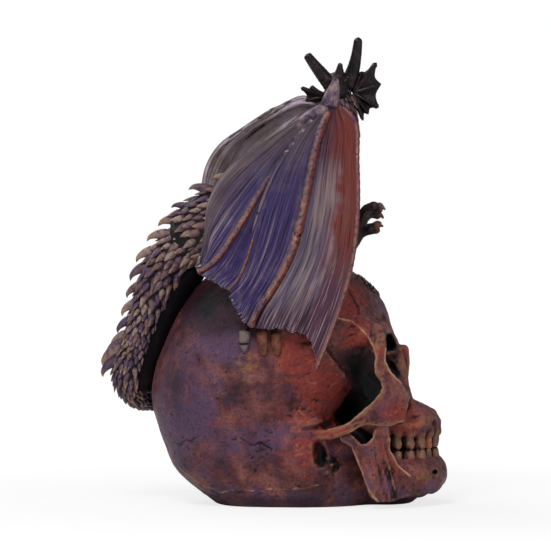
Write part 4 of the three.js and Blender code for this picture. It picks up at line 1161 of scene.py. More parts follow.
def thickened(piece, thickness, towards=0.0, group=""):
    """A sheet given a wall, with the edges closed."""
    only(piece)
    wall = piece.modifiers.new("wall", "SOLIDIFY")
    wall.thickness, wall.offset, wall.use_even_offset = thickness * MM, towards, False
    wall.vertex_group = group
    bpy.ops.object.modifier_apply(modifier=wall.name)
    return piece


# Wings


def bones_of(side):
    return {**BONES, **LIFTED_BONES} if side > 0 else BONES


def fan_places(along, across, striation, side):
    """The outer skin of a wing, from the wrist down to the scalloped edge."""
    bones = [at(shares) for shares in bones_of(side).values()]
    v, u = np.linspace(0, 1, across), np.linspace(0, 1, along)
    section = np.clip(np.searchsorted(BONE_PLACES, v, side="right") - 1, 0, 3)
    places = np.zeros((along, across, 3))
    dense = [smooth_path(bone, 801) for bone in bones]
    for column, (share, index) in enumerate(zip(v, section)):
        low, high = BONE_PLACES[index], BONE_PLACES[index + 1]
        w = (share - low) / (high - low)
        dip = SCALLOPS[index] * math.sin(math.pi * (w ** 0.72 if index == 0 else w))
        nick = 0.008 * math.sin(v[column] * 140) + 0.006 * math.sin(v[column] * 57 + 2)
        reach = u * (1 - dip - nick * np.sin(math.pi * w))
        spots = reach * 800
        here, there = (
            np.column_stack([np.interp(spots, np.arange(801), bone[:, axis]) for axis in range(3)])
            for bone in (dense[index], dense[index + 1]))
        line = here * (1 - w) + there * w
        line[:, 0] -= 1.6 * math.sin(math.pi * w) * np.sin(math.pi * np.clip(u, 0, 1)) ** 0.6
        line[:, 0] += 0.9 * (1 - math.cos(4 * math.pi * w)) / 2 * rise(0, 0.12, u)
        places[:, column] = line
    grown = rise(0.02, 0.3, u)[:, None]
    sway = v[None] + 0.004 * np.sin(9 * u[:, None] + 14 * v[None]) + 0.006 * np.sin(31 * v[None])
    crest = 0
    for ridges, height, seed in ((24, 0.75, 1), (47, 0.6, 2), (83, 0.5, 3)):
        rng = np.random.default_rng(seed)
        knots = rng.random(400) * 0.75 + 0.25
        place = sway * ridges
        tall = knots[place.astype(int) % 400]
        phase = 9 * knots[place.astype(int) * 7 % 400]
        fade = 0.5 + 0.5 * np.sin(u[:, None] * (5 + 4 * seed) + phase)
        ridge = (1 - np.abs(2 * (place % 1) - 1)) ** 1.4
        crest = crest + height * tall * ridge * (0.45 + 0.55 * fade)
    smoother = 1 - 0.35 * (1 - rise(0.10, 0.34, v[None]))
    crest = (crest - 0.2) * smoother * grown
    # A groove in front of each of the two main bones; the paint lays near black in it, a painted
    # shadow beside the bone.
    for place, top in ((0.34, 0.1), (0.76, 0.4)):
        crest = crest - (1.1 * rise(-0.026, -0.014, v - place)[None] * rise(0.006, -0.004,
                                                                            v - place)[None]
                         * rise(top, top + 0.1, u)[:, None])
    places[..., 0] += crest * striation
    if side < 0:
        places[..., 0] *= -1
    return places, np.clip(crest / 0.9, -1, 1.2)


def wing_skin(name, side, along, across, thickness, striation):
    places, crest = fan_places(along, across, striation, side)
    skin = grid_of(name, places)
    v, u = np.meshgrid(np.linspace(0, 1, across), np.linspace(0, 1, along))
    set_shares(skin, "crest", crest.ravel())
    set_shares(skin, "along", u.ravel())
    set_shares(skin, "across", v.ravel())
    only(skin)
    bpy.ops.object.mode_set(mode="EDIT")
    bpy.ops.mesh.select_all(action="SELECT")
    bpy.ops.mesh.normals_make_consistent(inside=False)
    bpy.ops.object.mode_set(mode="OBJECT")
    normals = normals_of(skin)
    if np.mean(normals[:, 0]) * side < 0:
        bpy.ops.object.mode_set(mode="EDIT")
        bpy.ops.mesh.select_all(action="SELECT")
        bpy.ops.mesh.flip_normals()
        bpy.ops.object.mode_set(mode="OBJECT")
    near_rear = np.exp(-((v - 0.77) / 0.07) ** 2) * rise(0.75, 0.45, u)
    group = skin.vertex_groups.new(name="thick")
    for index, weight in enumerate((1 - 0.85 * near_rear).ravel().tolist()):
        group.add([index], weight, "REPLACE")
    thickened(skin, thickness, -1.0, "thick")
    bpy.ops.object.shade_smooth()
    count = len(skin.data.vertices)
    turned_in = rise(0.1, -0.3, normals_of(skin)[:, 0] * side)
    set_shares(skin, "inner", turned_in * (np.arange(count) >= count // 2))
    return skin


def rib(name, shares, radius, side, knuckle, start=0.03, end=1.0, lift=0.9):
    """A finger bone laid on the skin, with a knuckle, beads along it and a knob at its end."""
    path = smooth_path(at(shares), 601)[int(600 * start):int(600 * end) + 1]
    path = path + np.array([lift, 0, 0])
    if side < 0:
        path = path * (-1, 1, 1)
    count = len(path)

    def shape(share):
        beads = 1 + 0.2 * np.abs(np.sin(share * 120)) * rise(0.02, 0.1, share)
        joint = (0.2 * np.exp(-((share - knuckle + 0.022) / 0.014) ** 2)
                 + 0.2 * np.exp(-((share - knuckle - 0.024) / 0.014) ** 2)
                 - 0.55 * np.exp(-((share - knuckle) / 0.007) ** 2)) if knuckle else 0
        knob = 0.55 * np.exp(-((share - 0.975) / 0.018) ** 2)
        return (beads + joint + knob) * np.interp(share, [0, 0.5, 0.9, 1], [1.0, 1.02, 0.72, 0.7])

    share = np.linspace(0, 1, count)[::2]
    path = path[::2]
    girth = domed(radius * shape(share), share, 0.02, 0.012)
    return wrapped(name, rings(path, girth, 12, ACROSS, 1.0))


ARM = [[0.16, -0.12, 1.26], [0.5, 0.04, 1.4], [0.62, -0.12, 1.57], [0.7, -0.34, 1.69]]
SPUR = [[0.73, -0.325, 1.68], [0.72, -0.335, 1.72], [0.7, -0.352, 1.77], [0.68, -0.366, 1.815]]


def wing(name, side, along, across, thickness, striation, radius):
    skin = wing_skin(f"{name}_skin", side, along, across, thickness, striation)
    placed = placed_on(side)
    shapes = bones_of(side)
    bones = [
        rib("rib", shapes["lead"], radius * 0.5, side, 0, lift=-0.3),
        rib("rib", shapes["second"], radius * 1.0, side, 0.47, lift=0.5),
        rib("rib", shapes["middle"], radius * 0.4, side, 0, start=0.55, lift=0.1),
        rib("rib", shapes["rear"], radius * 0.8, side, 0, start=0.34, lift=0.6),
    ]
    arm = [
        tube("arm", placed(ARM), [5.2, 4.2, 3.8, 3.6], sides=16, steps=8),
        tube("spur", placed(SPUR), [4.4, 3.6, 2.3, 0.9], sides=14, steps=6, towards=ALONG,
             flat=0.62,
             dome=0.12),
    ]
    fingers = joined(f"{name}_bones", bones)
    # Painted shade: the forward-facing side of each finger bone is marked, for the paint to brush
    # it dark brick.
    set_shares(fingers, "rib_shade", np.clip(0.5 - 0.8 * normals_of(fingers)[:, 1], 0, 1))
    return skin, fingers, joined(f"{name}_arm", arm)


# Legs
FORE = [[0.2, -0.24, 1.2], [0.42, -0.26, 1.08], [0.4, -0.385, 1.045], [0.34, -0.475, 1.12],
        [0.3, -0.515, 1.175]]
FORE_GIRTHS = [6, 5.2, 5.0, 3.8, 2.9]
FORE_TOES = [
    [[0.3, -0.49, 1.15], [0.31, -0.55, 1.222], [0.32, -0.592, 1.236], [0.325, -0.622, 1.228]],
    [[0.33, -0.47, 1.1], [0.37, -0.53, 1.128], [0.4, -0.57, 1.138], [0.41, -0.6, 1.14]],
    [[0.3, -0.49, 1.14], [0.25, -0.54, 1.19], [0.22, -0.585, 1.205], [0.21, -0.61, 1.2]],
]
FORE_CLAWS = [
    [[0.322, -0.605, 1.232], [0.33, -0.634, 1.24], [0.335, -0.657, 1.226]],
    [[0.4, -0.585, 1.14], [0.415, -0.618, 1.158], [0.42, -0.645, 1.155]],
    [[0.22, -0.6, 1.2], [0.205, -0.63, 1.2], [0.2, -0.648, 1.186]],
]
HIND = [[0.2, 0.26, 1.12], [0.55, 0.06, 1.08], [0.74, 0, 0.985], [0.8, 0.13, 0.9],
        [0.88, 0.12, 0.8]]
HIND_GIRTHS = [9.5, 8, 5.75, 4.25, 4]
HIND_TOES = [
    [[0.86, 0.11, 0.83], [0.92, 0.15, 0.77], [0.95, 0.172, 0.72]],
    [[0.86, 0.1, 0.83], [0.93, 0.085, 0.77], [0.965, 0.075, 0.72]],
    [[0.86, 0.08, 0.83], [0.92, 0.02, 0.76], [0.945, -0.005, 0.71]],
]
HIND_CLAWS = [
    [[0.95, 0.17, 0.73], [0.975, 0.176, 0.68], [0.96, 0.172, 0.635]],
    [[0.965, 0.076, 0.73], [0.99, 0.066, 0.68], [0.975, 0.06, 0.625]],
    [[0.945, -0.003, 0.72], [0.97, -0.014, 0.67], [0.955, -0.02, 0.62]],
]

FORE_NAILS, HIND_NAILS = [1.35, 0.95, 0.35], [2.6, 2.4, 1.0]


def leg(name, side, path, girths, toes, claws, widths, grain):
    """A leg with knuckled toes, and its claws as a piece of their own."""
    placed = placed_on(side)
    everything = np.vstack([placed(path), *[placed(toe) for toe in toes]])
    clay = Clay(everything.min(0) - 12, everything.max(0) + 12, grain)
    clay.add(strand(placed(path), girths))
    for toe in toes:
        line = placed(toe)
        clay.add(strand(line, np.interp(np.arange(len(line)), [0, len(line) - 1], [2.0, 1.4])), 1)
        for knuckle in line[1:]:
            clay.add(egg(knuckle, (1.7, 1.7, 1.7)), 0.7)
    piece = clay.cast(name, 1)
    roughen(piece, (0.28, 2.4, 4), (0.25, 5, 8))
    mark_relief(piece, 2, 10)
    nails = [tube("nail", placed(claw), widths, sides=14, steps=7, dome=0.08) for claw in claws]
    nails = joined(f"{name}_claws", nails)
    count = len(nails.data.vertices)
    set_shares(nails, "tone", (np.arange(count) < count // len(claws)).astype(float))
    return piece, nails


# Paint: each finish is built up in coats over a dark ground


class Finish:
    """The nodes of one paint finish, added one after another."""

    def __init__(self, name, roughness=0.42, coat=0.05, metal=0.0):
        self.material = bpy.data.materials.new(name)
        self.material.use_nodes = True
        self.tree = self.material.node_tree
        self.shader = self.tree.nodes["Principled BSDF"]
        self.shader.inputs["Roughness"].default_value = roughness
        self.shader.inputs["Metallic"].default_value = metal
        self.shader.inputs["Coat Weight"].default_value = coat
        self.shader.inputs["Coat Roughness"].default_value = 0.2
        self.shader.inputs["Specular IOR Level"].default_value = 0.22
        self.place = self.tree.nodes.new("ShaderNodeTexCoord").outputs["Object"]

    def node(self, kind, settings=None, **inputs):
        node = self.tree.nodes.new(kind)
        for key, value in (settings or {}).items():
            setattr(node, key, value)
        for key, value in inputs.items():
            socket = node.inputs[int(key[1:])] if key[0] == "i" and key[1:].isdigit() else (
                node.inputs[key.replace("_", " ")])
            self.put(socket, value)
        return node

    def put(self, socket, value):
        if isinstance(value, bpy.types.NodeSocket):
            self.tree.links.new(value, socket)
        elif socket.type == "RGBA":
            socket.default_value = (*value, 1)
        else:
            socket.default_value = value

    def noise(self, size, detail=4.0, rough=0.55, stretch=(1, 1, 1), turn=(0, 0, 0)):
        """Cloudy noise with features of about the given size in millimetres."""
        place = self.place
        if stretch != (1, 1, 1) or turn != (0, 0, 0):
            place = self.node("ShaderNodeMapping", i0=place, i2=turn, i3=stretch).outputs[0]
        return self.node("ShaderNodeTexNoise", Vector=place, Scale=1000 / size, Detail=detail,
                         Roughness=rough).outputs["Fac"]

    def share(self, name):
        return self.node("ShaderNodeAttribute", {"attribute_name": name}).outputs["Fac"]

    def maths(self, operation, a, b):
        return self.node("ShaderNodeMath", {"operation": operation}, i0=a, i1=b).outputs[0]

    def mul(self, first, *others):
        for other in others:
            first = self.maths("MULTIPLY", first, other)
        return first

    def plus(self, a, b):
        return self.maths("ADD", a, b)

    def ragged(self, value, cloud, size=1.0):
        """A value made uneven by noise."""
        return self.plus(value, self.mul(self.maths("SUBTRACT", cloud, 0.5), size))

    def between(self, value, low, high, first, last, soft="LINEAR"):
        return self.node("ShaderNodeMapRange", {"interpolation_type": soft}, i0=value, i1=low,
                         i2=high, i3=first, i4=last).outputs[0]

    def step(self, value, low, high):
        """0 below low and 1 above high, with a soft edge."""
        return self.between(value, low, high, 0.0, 1.0, "SMOOTHSTEP")

    def bands(self, value, stops):
        ramp = self.node("ShaderNodeValToRGB", i0=value)
        elements = ramp.color_ramp.elements
        while len(elements) < len(stops):
            elements.new(0.5)
        for element, (place, colour) in zip(elements, stops):
            element.position, element.color = place, (*colour, 1)
        return ramp.outputs["Color"]

    def ground(self, value, *stops):
        """The first coat, in bands of colour."""
        self.body = self.bands(value, stops)

    def lay(self, over, share):
        """One more colour laid over what is there."""
        node = self.node("ShaderNodeMix", {"data_type": "RGBA"}, i0=share, i6=self.body, i7=over)
        self.body = node.outputs[2]

    def brush(self, over, value, low, high, *thin):
        """A colour brushed on where a value goes from low to high, thinned by shares."""
        self.lay(over, self.mul(self.step(value, low, high), *thin))

    def done(self, height, depth, rough=None):
        self.put(self.shader.inputs["Base Color"], self.body)
        bump = self.node("ShaderNodeBump", Height=height, Strength=1.0, Distance=depth * MM)
        self.put(self.shader.inputs["Normal"], bump.outputs[0])
        if rough is not None:
            self.put(self.shader.inputs["Roughness"], rough)
        return self.material


def bone_finish(colours):
    """Painted bone: mottled washes, dark pores, fine wrinkles and thin light edges."""
    bone = Finish("bone_paint", coat=0.06)
    cloud, fine = bone.noise(12, 7, 0.66), bone.noise(2.8, 6, 0.66)
    streak = bone.noise(5, 6, 0.66, (1, 0.35, 1.3))
    specks, grit = bone.noise(1.2, 4, 0.75), bone.noise(0.6, 3, 0.7)
    ribbons = bone.noise(2.0, 5, 0.65, (1, 1.0, 0.16))
    patch = bone.noise(9, 6, 0.68, turn=(1, 2, 0))
    streaky = bone.share("streaky")
    bone.ground(cloud, (0.34, colours.bone_dark), (0.5, colours.bone), (0.66, colours.bone_light))
    for name, over, weight, cloudy, low, high, strength in (
            ("violet", colours.bone_violet, 0.3, patch, 0.5, 0.84, 0.85),
            ("rust", colours.bone_rust, 0.36, streak, 0.6, 0.88, 0.85),
            ("ochre", colours.bone_ochre, 0.32, fine, 0.64, 0.92, 0.7)):
        wash = bone.plus(bone.mul(bone.share(name), weight), cloudy)
        bone.brush(over, wash, low, high, strength)
    bone.brush(colours.bone_orange, fine, 0.53, 0.68, bone.step(bone.share("rust"), 0.1, 0.7), 0.6)
    bone.brush(colours.bone_light, grit, 0.55, 0.72, 0.4)
    bone.brush(colours.bone_dark, specks, 0.51, 0.66, 0.7)
    bone.brush(colours.bone_rust, ribbons, 0.52, 0.6, streaky, 0.6)
    bone.brush(colours.bone_light, ribbons, 0.6, 0.67, streaky, 0.5)
    bone.brush(colours.bone_violet, patch, 0.48, 0.6, streaky, 0.5)
    bone.brush(colours.recess_and_shade, ribbons, 0.45, 0.36, streaky, 0.6)
    relief = bone.ragged(bone.share("relief"), fine, 0.9)
    bone.brush(colours.bone_ochre, relief, 0.4, 0.95, 0.55)
    bone.brush(colours.recess_and_shade, relief, -0.2, -0.7, 0.85)
    # Painted shade: dark and then near black where the shade attribute is high.
    shade = bone.ragged(bone.share("shade"), patch, 0.5)
    bone.brush(colours.bone_dark, shade, 0.05, 0.4, 0.85)
    bone.brush(colours.recess_and_shade, shade, 0.4, 0.8)
    # Painted shade: near black where the surface is enclosed, standing in for the shadow deep in
    # the hollows.
    bone.brush(colours.recess_and_shade, bone.plus(bone.share("depth"), bone.mul(fine, 0.12)), 0.4, 0.66)
    bone.brush(colours.recess_and_shade, bone.share("crack"), 0.2, 0.9, 0.6)
    # Pale lines along the thin ridges: partly paint, partly a painted highlight where the edges
    # catch the light.
    broken = bone.plus(bone.mul(bone.step(streak, 0.42, 0.54), 0.5), 0.35)
    bone.brush(colours.bone_edge_and_highlight, bone.ragged(bone.share("edge"), fine, 0.9), 0.6, 0.1, broken)
    height = bone.plus(bone.mul(fine, 1.3), bone.plus(bone.mul(specks, 0.7), bone.mul(grit, 0.3)))
    return bone.done(height, 0.6, bone.between(patch, 0.3, 0.7, 0.34, 0.56))


def tooth_finish(colours):
    tooth = Finish("tooth_paint", coat=0.08)
    cloud, fine = tooth.noise(3, 5, 0.6), tooth.noise(1.2, 4, 0.6)
    tone = tooth.plus(tooth.mul(tooth.share("tone"), 0.55), tooth.mul(cloud, 0.45))
    tooth.ground(tone, (0.28, colours.wing_violet), (0.4, colours.tooth),
                 (0.5, colours.bone_violet), (0.62, colours.bone), (0.76, colours.bone_orange))
    tooth.brush(colours.recess_and_shade, fine, 0.5, 0.62, 0.7)
    tooth.brush(colours.bone_edge_and_highlight, fine, 0.43, 0.37, 0.5)
    relief = tooth.ragged(tooth.share("relief"), fine)
    tooth.brush(colours.bone_ochre, relief, 0.3, 0.9, 0.6)
    tooth.brush(colours.recess_and_shade, relief, 0.0, -0.5, 0.8)
    tooth.lay(colours.bone_dark, tooth.mul(tooth.share("root"), 0.7))
    return tooth.done(fine, 0.5, 0.42)


def head_finish(colours):
    """Near black hide of the head and the feet, brushed on its ridges."""
    hide = Finish("head_paint", coat=0.06)
    cloud, fine = hide.noise(6, 5, 0.64), hide.noise(1.6, 5, 0.66)
    hide.ground(cloud, (0.36, colours.horn_dark), (0.52, colours.horn), (0.7, colours.hide_dark))
    relief = hide.ragged(hide.share("relief"), fine, 1.4)
    hide.brush(colours.claw, relief, 0.35, 0.9, 0.55)
    hide.brush(colours.recess_and_shade, relief, -0.15, -0.6)
    return hide.done(fine, 0.5, 0.4)


def under_finish(colours):
    """Dark skin that shows only between the scales."""
    hide = Finish("under_paint", coat=0.0)
    cloud, fine = hide.noise(6, 5, 0.6), hide.noise(1.8, 4, 0.6)
    hide.ground(cloud, (0.35, colours.recess_and_shade), (0.65, colours.hide_dark))
    return hide.done(fine, 0.5, 0.5)


def shadow_fill_finish(colours):
    """Near black painted shade on a fill that closes the gap between the tail and the back of the
    skull, where it lies in shadow.
    """
    fill = Finish("shadow_fill_paint", roughness=0.6, coat=0.0)
    fill.shader.inputs["Specular IOR Level"].default_value = 0.05
    cloud = fill.noise(7, 5, 0.6)
    fill.ground(cloud, (0.55, colours.recess_and_shade), (0.75, colours.hide_dark))
    return fill.done(cloud, 0.4)


def scale_finish(colours):
    scale = Finish("scale_paint", coat=0.05)
    fine, cloud = scale.noise(1.6, 4, 0.6), scale.noise(9, 4, 0.6)
    tone = scale.plus(scale.mul(scale.share("tone"), 0.5), scale.mul(cloud, 0.5))
    scale.ground(tone, (0.3, colours.hide_violet), (0.44, colours.hide),
                 (0.56, colours.hide_violet), (0.66, colours.hide_grey), (0.78, colours.hide))
    tip = scale.ragged(scale.share("tip"), fine, 0.7)
    scale.brush(colours.bronze, tip, 0.5, 1.0, scale.step(cloud, 0.4, 0.62), 0.8)
    scale.brush(colours.hide_dark, fine, 0.5, 0.66, 0.65)
    # Painted shade: near black at the root of each scale and spine, where it tucks under its
    # neighbour or meets the body.
    scale.brush(colours.recess_and_shade, tip, 0.3, 0.02, 0.85)
    return scale.done(fine, 0.45, 0.4)


def wing_finish(colours):
    """Wing skin: indigo under many pale threads, brick red along the leading edge."""
    skin = Finish("wing_paint", coat=0.06)
    step, mul = skin.step, skin.mul
    across, along = skin.share("across"), skin.share("along")
    cloud, fine = skin.noise(14, 6, 0.66), skin.noise(1.8, 5, 0.66)

    def threads(count, run, detail):
        """Long thin streaks that run from the wrist to the lower edge."""
        place = skin.node("ShaderNodeCombineXYZ", i0=mul(across, count), i1=mul(along, run))
        return skin.node("ShaderNodeTexNoise", Vector=place.outputs[0], Scale=1.0, Detail=detail,
                         Roughness=0.6).outputs["Fac"]

    broad, thin, hair = threads(26, 2, 3), threads(80, 2.6, 4), threads(170, 3.5, 3)
    shift = skin.ragged(skin.ragged(across, cloud, 0.24), broad, 0.14)
    skin.ground(shift, (0.0, colours.wing_brick_and_rib_shade), (0.14, colours.wing_brick_and_rib_shade),
                (0.26, colours.wing_violet), (0.4, colours.wing_indigo), (0.6, colours.wing_indigo),
                (0.82, colours.wing_indigo), (0.98, colours.wing_mauve))
    skin.brush(colours.wing_blue_and_sheen, cloud, 0.52, 0.62, step(shift, 0.3, 0.42), 0.35)
    skin.brush(colours.wing_mauve, broad, 0.52, 0.66, step(shift, 0.6, 0.76), 0.6)
    skin.brush(colours.wing_mauve, along, 0.42, 0.1, step(shift, 0.2, 0.5), 0.85)
    skin.brush(colours.wing_violet, along, 0.5, 0.82, step(shift, 0.4, 0.2), 0.85)
    # Painted sheen: a pale bluish grey band in front of the second finger, with olive and rose
    # streaks, stands in for light the skin catches there.
    sheen = mul(step(shift, 0.09, 0.18), step(shift, 0.38, 0.31),
                mul(step(along, 0.22, 0.42), step(along, 0.95, 0.72)))
    skin.lay(colours.wing_blue_and_sheen, mul(sheen, 0.75))
    skin.lay(colours.wing_olive, mul(sheen, step(broad, 0.42, 0.6), 0.5))
    skin.brush(colours.wing_rose, broad, 0.5, 0.64, sheen, 0.5)
    skin.brush(colours.recess_and_shade, thin, 0.48, 0.34, 0.65)
    crest = skin.ragged(skin.share("crest"), thin, 2.4)
    low = skin.plus(mul(step(along, 0.3, 0.85), 0.65), 0.35)
    skin.brush(colours.wing_pale, crest, 0.3, 1.1, step(shift, 0.14, 0.3), mul(low, 0.7))
    skin.brush(colours.wing_rose, crest, 0.3, 1.0, step(shift, 0.34, 0.1), 0.4)
    skin.brush(colours.wing_pale, hair, 0.53, 0.66, mul(low, low, 0.6))
    # Near black where the crest is low: partly the dark of the grooves between the ridges, partly
    # the painted shadow in front of the two main bones.
    skin.brush(colours.recess_and_shade, crest, 0.0, -0.6, 0.7)
    skin.brush(colours.wing_rose, across, 0.02, 0.004, 0.7)
    # Painted light: the wings' inner faces, which lie in shade, get pale colours that stand in for
    # the light they lack.
    inner = skin.bands(cloud, [(0.4, colours.wing_inner_painted_light), (0.6, colours.wing_olive)])
    skin.lay(inner, mul(skin.share("inner"), skin.plus(mul(step(thin, 0.34, 0.5), 0.16), 0.8)))
    height = skin.plus(mul(thin, 2.0), skin.plus(hair, fine))
    return skin.done(height, 0.35, skin.between(cloud, 0.3, 0.7, 0.3, 0.5))


def arm_finish(colours):
    """Greyish mauve horn of the spur and the arm."""
    arm = Finish("arm_paint", coat=0.06)
    cloud, fine = arm.noise(5, 5, 0.64), arm.noise(1.5, 5, 0.66)
    arm.ground(cloud, (0.36, colours.horn), (0.5, colours.hide_violet), (0.66, colours.hide_grey))
    arm.brush(colours.recess_and_shade, fine, 0.52, 0.66, 0.6)
    return arm.done(fine, 0.5, 0.4)


def rib_finish(colours):
    finger = Finish("rib_paint", coat=0.06)
    cloud, fine = finger.noise(6, 4, 0.6), finger.noise(1.6, 5, 0.6)
    finger.ground(cloud, (0.36, colours.hide_violet), (0.5, colours.hide),
                  (0.6, colours.wing_rose), (0.72, colours.hide_grey))
    # Painted shade: dark brick on the forward-facing side of each finger bone.
    rib_shade = finger.ragged(finger.share("rib_shade"), fine, 0.5)
    finger.brush(colours.wing_brick_and_rib_shade, rib_shade, 0.55, 0.8, 0.9)
    finger.brush(colours.recess_and_shade, fine, 0.52, 0.64, 0.7)
    return finger.done(fine, 0.6, 0.42)


def horn_finish(colours):
    horn = Finish("horn_paint", coat=0.06)
    cloud, fine = horn.noise(6, 5, 0.6), horn.noise(1.6, 4, 0.6, (1, 1, 0.4))
    horn.ground(cloud, (0.4, colours.horn_dark), (0.6, colours.horn), (0.75, colours.horn_red))
    horn.brush(colours.horn_tip, fine, 0.58, 0.78, 0.45)
    return horn.done(fine, 0.35, 0.36)


def claw_finish(colours):
    claw = Finish("claw_paint", coat=0.06)
    cloud, fine = claw.noise(4, 4, 0.6), claw.noise(1.4, 4, 0.6)
    claw.ground(cloud, (0.38, colours.horn_red), (0.52, colours.claw), (0.68, colours.claw))
    pale = claw.bands(cloud, [(0.38, colours.hide_violet), (0.52, colours.claw_pale)])
    claw.lay(pale, claw.share("tone"))
    claw.brush(colours.recess_and_shade, fine, 0.52, 0.68, 0.7)
    return claw.done(fine, 0.35, 0.38)


def steel_finish():
    pin = Finish("pin_steel", roughness=0.34, coat=0.0, metal=1.0)
    grain = pin.noise(1.2, 4, 0.5, (1, 1, 0.08))
    pin.ground(grain, (0.3, paint(130, 130, 132)), (0.7, paint(176, 176, 178)))
    return pin.done(grain, 0.05)


def dress(piece, finish, slot, *nodes):
    """Paints a piece, lets it ride on the statue and stand for its castings."""
    piece.data.materials.clear()
    piece.data.materials.append(finish)
    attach(piece, "root")
    if nodes:
        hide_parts(*nodes)
    return piece


# Settings


def length(name, description, default, **more):
    return FloatProperty(name=name, description=description, default=default, unit="LENGTH",
                         precision=5, min=0.0, **more)


def colour(name, description, *levels):
    return FloatVectorProperty(name=name, description=description, default=paint(*levels), size=3,
                               subtype="COLOR", min=0.0, max=1.0)


class STATUE_PG_sizes(bpy.types.PropertyGroup):
    grain: length("Clay grain", "Spacing of the sculpted faces of the skull", 0.0008)
    fine_grain: length("Fine grain", "Spacing of the sculpted faces of the small pieces", 0.0006)
    pit_depth: length("Pit depth", "How deep the pores of the bone are", 0.00035)
    skin_thickness: length("Wing skin", "Thickness of the wing skin", 0.0016)
    striation: length("Striation", "Height of the ridges that run down the wings", 0.0008)
    rib_radius: length("Rib radius", "Radius of the finger bones of the wings", 0.0015)
    scale_length: length("Scale length", "Length of a scale on the back", 0.0068)
    scale_width: length("Scale width", "Width of a scale on the back", 0.0064)
    spine_length: length("Spine length", "Reach of the spines of the neck and the tail's far end",
                         0.0078)
    wing_columns: IntProperty(name="Wing columns", description="Faces across the near wing",
                              default=350, min=40, max=400)


class STATUE_PG_colours(bpy.types.PropertyGroup):
    bone: colour("Bone", "Main wash of the skull", 100, 52, 52)
    bone_dark: colour("Bone, dark", "Dark wash of the skull", 44, 20, 30)
    bone_light: colour("Bone, light", "Light wash of the skull", 144, 88, 80)
    bone_violet: colour("Bone, violet", "Cool wash of the skull", 88, 66, 98)
    bone_rust: colour("Bone, rust", "Warm wash of the skull", 144, 54, 46)
    bone_ochre: colour("Bone, ochre", "Dry brush on the ridges of the skull", 150, 104, 72)
    bone_orange: colour("Bone, orange", "Bright spots in the rust", 184, 92, 62)
    # bone_edge_and_highlight lines the thin edges of the face, partly a painted highlight, and
    # flecks the teeth.
    bone_edge_and_highlight: colour("Bone, edges", "Thin light edges of the face", 202, 152, 124)
    tooth: colour("Teeth", "Main colour of the teeth", 112, 86, 84)
    # Near black: paint in cracks, pores and streaks, and also the painted shade in hollows, beside
    # the wing bones and at the roots of the scales.
    recess_and_shade: colour("Recess", "Near black paint in the recesses", 12, 8, 12)
    hide: colour("Hide", "Main colour of the scales", 118, 90, 88)
    hide_dark: colour("Hide, dark", "Skin between the scales", 30, 18, 24)
    hide_violet: colour("Hide, violet", "Cool colour of the scales", 86, 66, 90)
    hide_grey: colour("Hide, grey", "Pale colour of the scales", 152, 128, 120)
    bronze: colour("Bronze", "Brushed tips of the scales and spines", 190, 150, 112)
    wing_indigo: colour("Wing, indigo", "Skin in the middle of the wings", 50, 37, 88)
    # wing_blue_and_sheen is the skin's bluish patches and also the painted sheen in front of the
    # second finger.
    wing_blue_and_sheen: colour("Wing, blue", "Bluish grey skin next to the second finger", 88, 80, 104)
    wing_violet: colour("Wing, violet", "Streaks of the wings", 66, 44, 66)
    wing_mauve: colour("Wing, mauve", "Greyish skin near the wrist", 94, 78, 84)
    # wing_inner_painted_light and the olive are far paler than the skin on the inner faces, a
    # painted light there.
    wing_inner_painted_light: colour("Wing, inner", "Pale inside of the wings", 214, 196, 212)
    wing_olive: colour("Wing, olive", "Streaks on both faces of the wings", 164, 148, 140)
    # wing_brick_and_rib_shade is the skin's own colour along the leading edge, and also the painted
    # shade on the finger bones.
    wing_brick_and_rib_shade: colour("Wing, brick", "Skin along the leading edge", 108, 44, 38)
    wing_rose: colour("Wing, rose", "Warm ridges and bones", 140, 94, 86)
    wing_pale: colour("Wing, pale", "Brushed ridges of the wings", 176, 150, 154)
    horn: colour("Horn", "Main colour of the horns", 34, 22, 26)
    horn_dark: colour("Horn, dark", "Dark colour of the horns", 10, 6, 8)
    horn_red: colour("Horn, red", "Reddish colour of the horns", 74, 34, 32)
    horn_tip: colour("Horn, tip", "Brushed tips of the horns", 124, 88, 78)
    claw: colour("Claw", "Main colour of the claws", 116, 68, 50)
    claw_pale: colour("Claw, pale", "Pale colour of the claws", 116, 100, 98)


class STATUE_PG_stage(bpy.types.PropertyGroup):
    floor: colour("Floor", "Colour of the floor", 236, 236, 236)
    distance: length("Camera distance", "From the middle of the statue to the camera", 2.4)
    elevation: FloatProperty(name="Camera elevation",
                             description="Angle of the camera over the floor",
                             default=math.radians(2.5), subtype="ANGLE")
    view_width: length("View width", "Width of what the camera sees at the statue", 0.2355)


def settings_of(context):
    return context.scene.statue_sizes, context.scene.statue_colours


# Operators, one for each piece or group of like pieces


class STATUE_OT_skull(bpy.types.Operator):
    """Sculpt the skull with its upper teeth"""
    bl_idname = "statue.skull"
    bl_label = "Skull"

    def execute(self, context):
        sizes, colours = settings_of(context)
        skull = skull_clay(sizes.grain / MM).cast("skull_bone")
        finish_skull(skull, sizes.pit_depth)
        tint_bone(skull)
        dress(skull, bone_finish(colours), "bone", "skull")
        dress(tooth_row("upper_teeth", 1), tooth_finish(colours), "bone", "skull")
        return {"FINISHED"}


class STATUE_OT_mandible(bpy.types.Operator):
    """Sculpt the lower jaw with its teeth"""
    bl_idname = "statue.mandible"
    bl_label = "Mandible"

    def execute(self, context):
        sizes = context.scene.statue_sizes
        jaw = mandible_clay(sizes.fine_grain / MM).cast("mandible_bone")
        finish_mandible(jaw, sizes.pit_depth)
        tint_bone(jaw)
        dress(jaw, bpy.data.materials["bone_paint"], "bone", "mandible")
        dress(tooth_row("lower_teeth", -1), bpy.data.materials["tooth_paint"], "bone", "mandible")
        return {"FINISHED"}


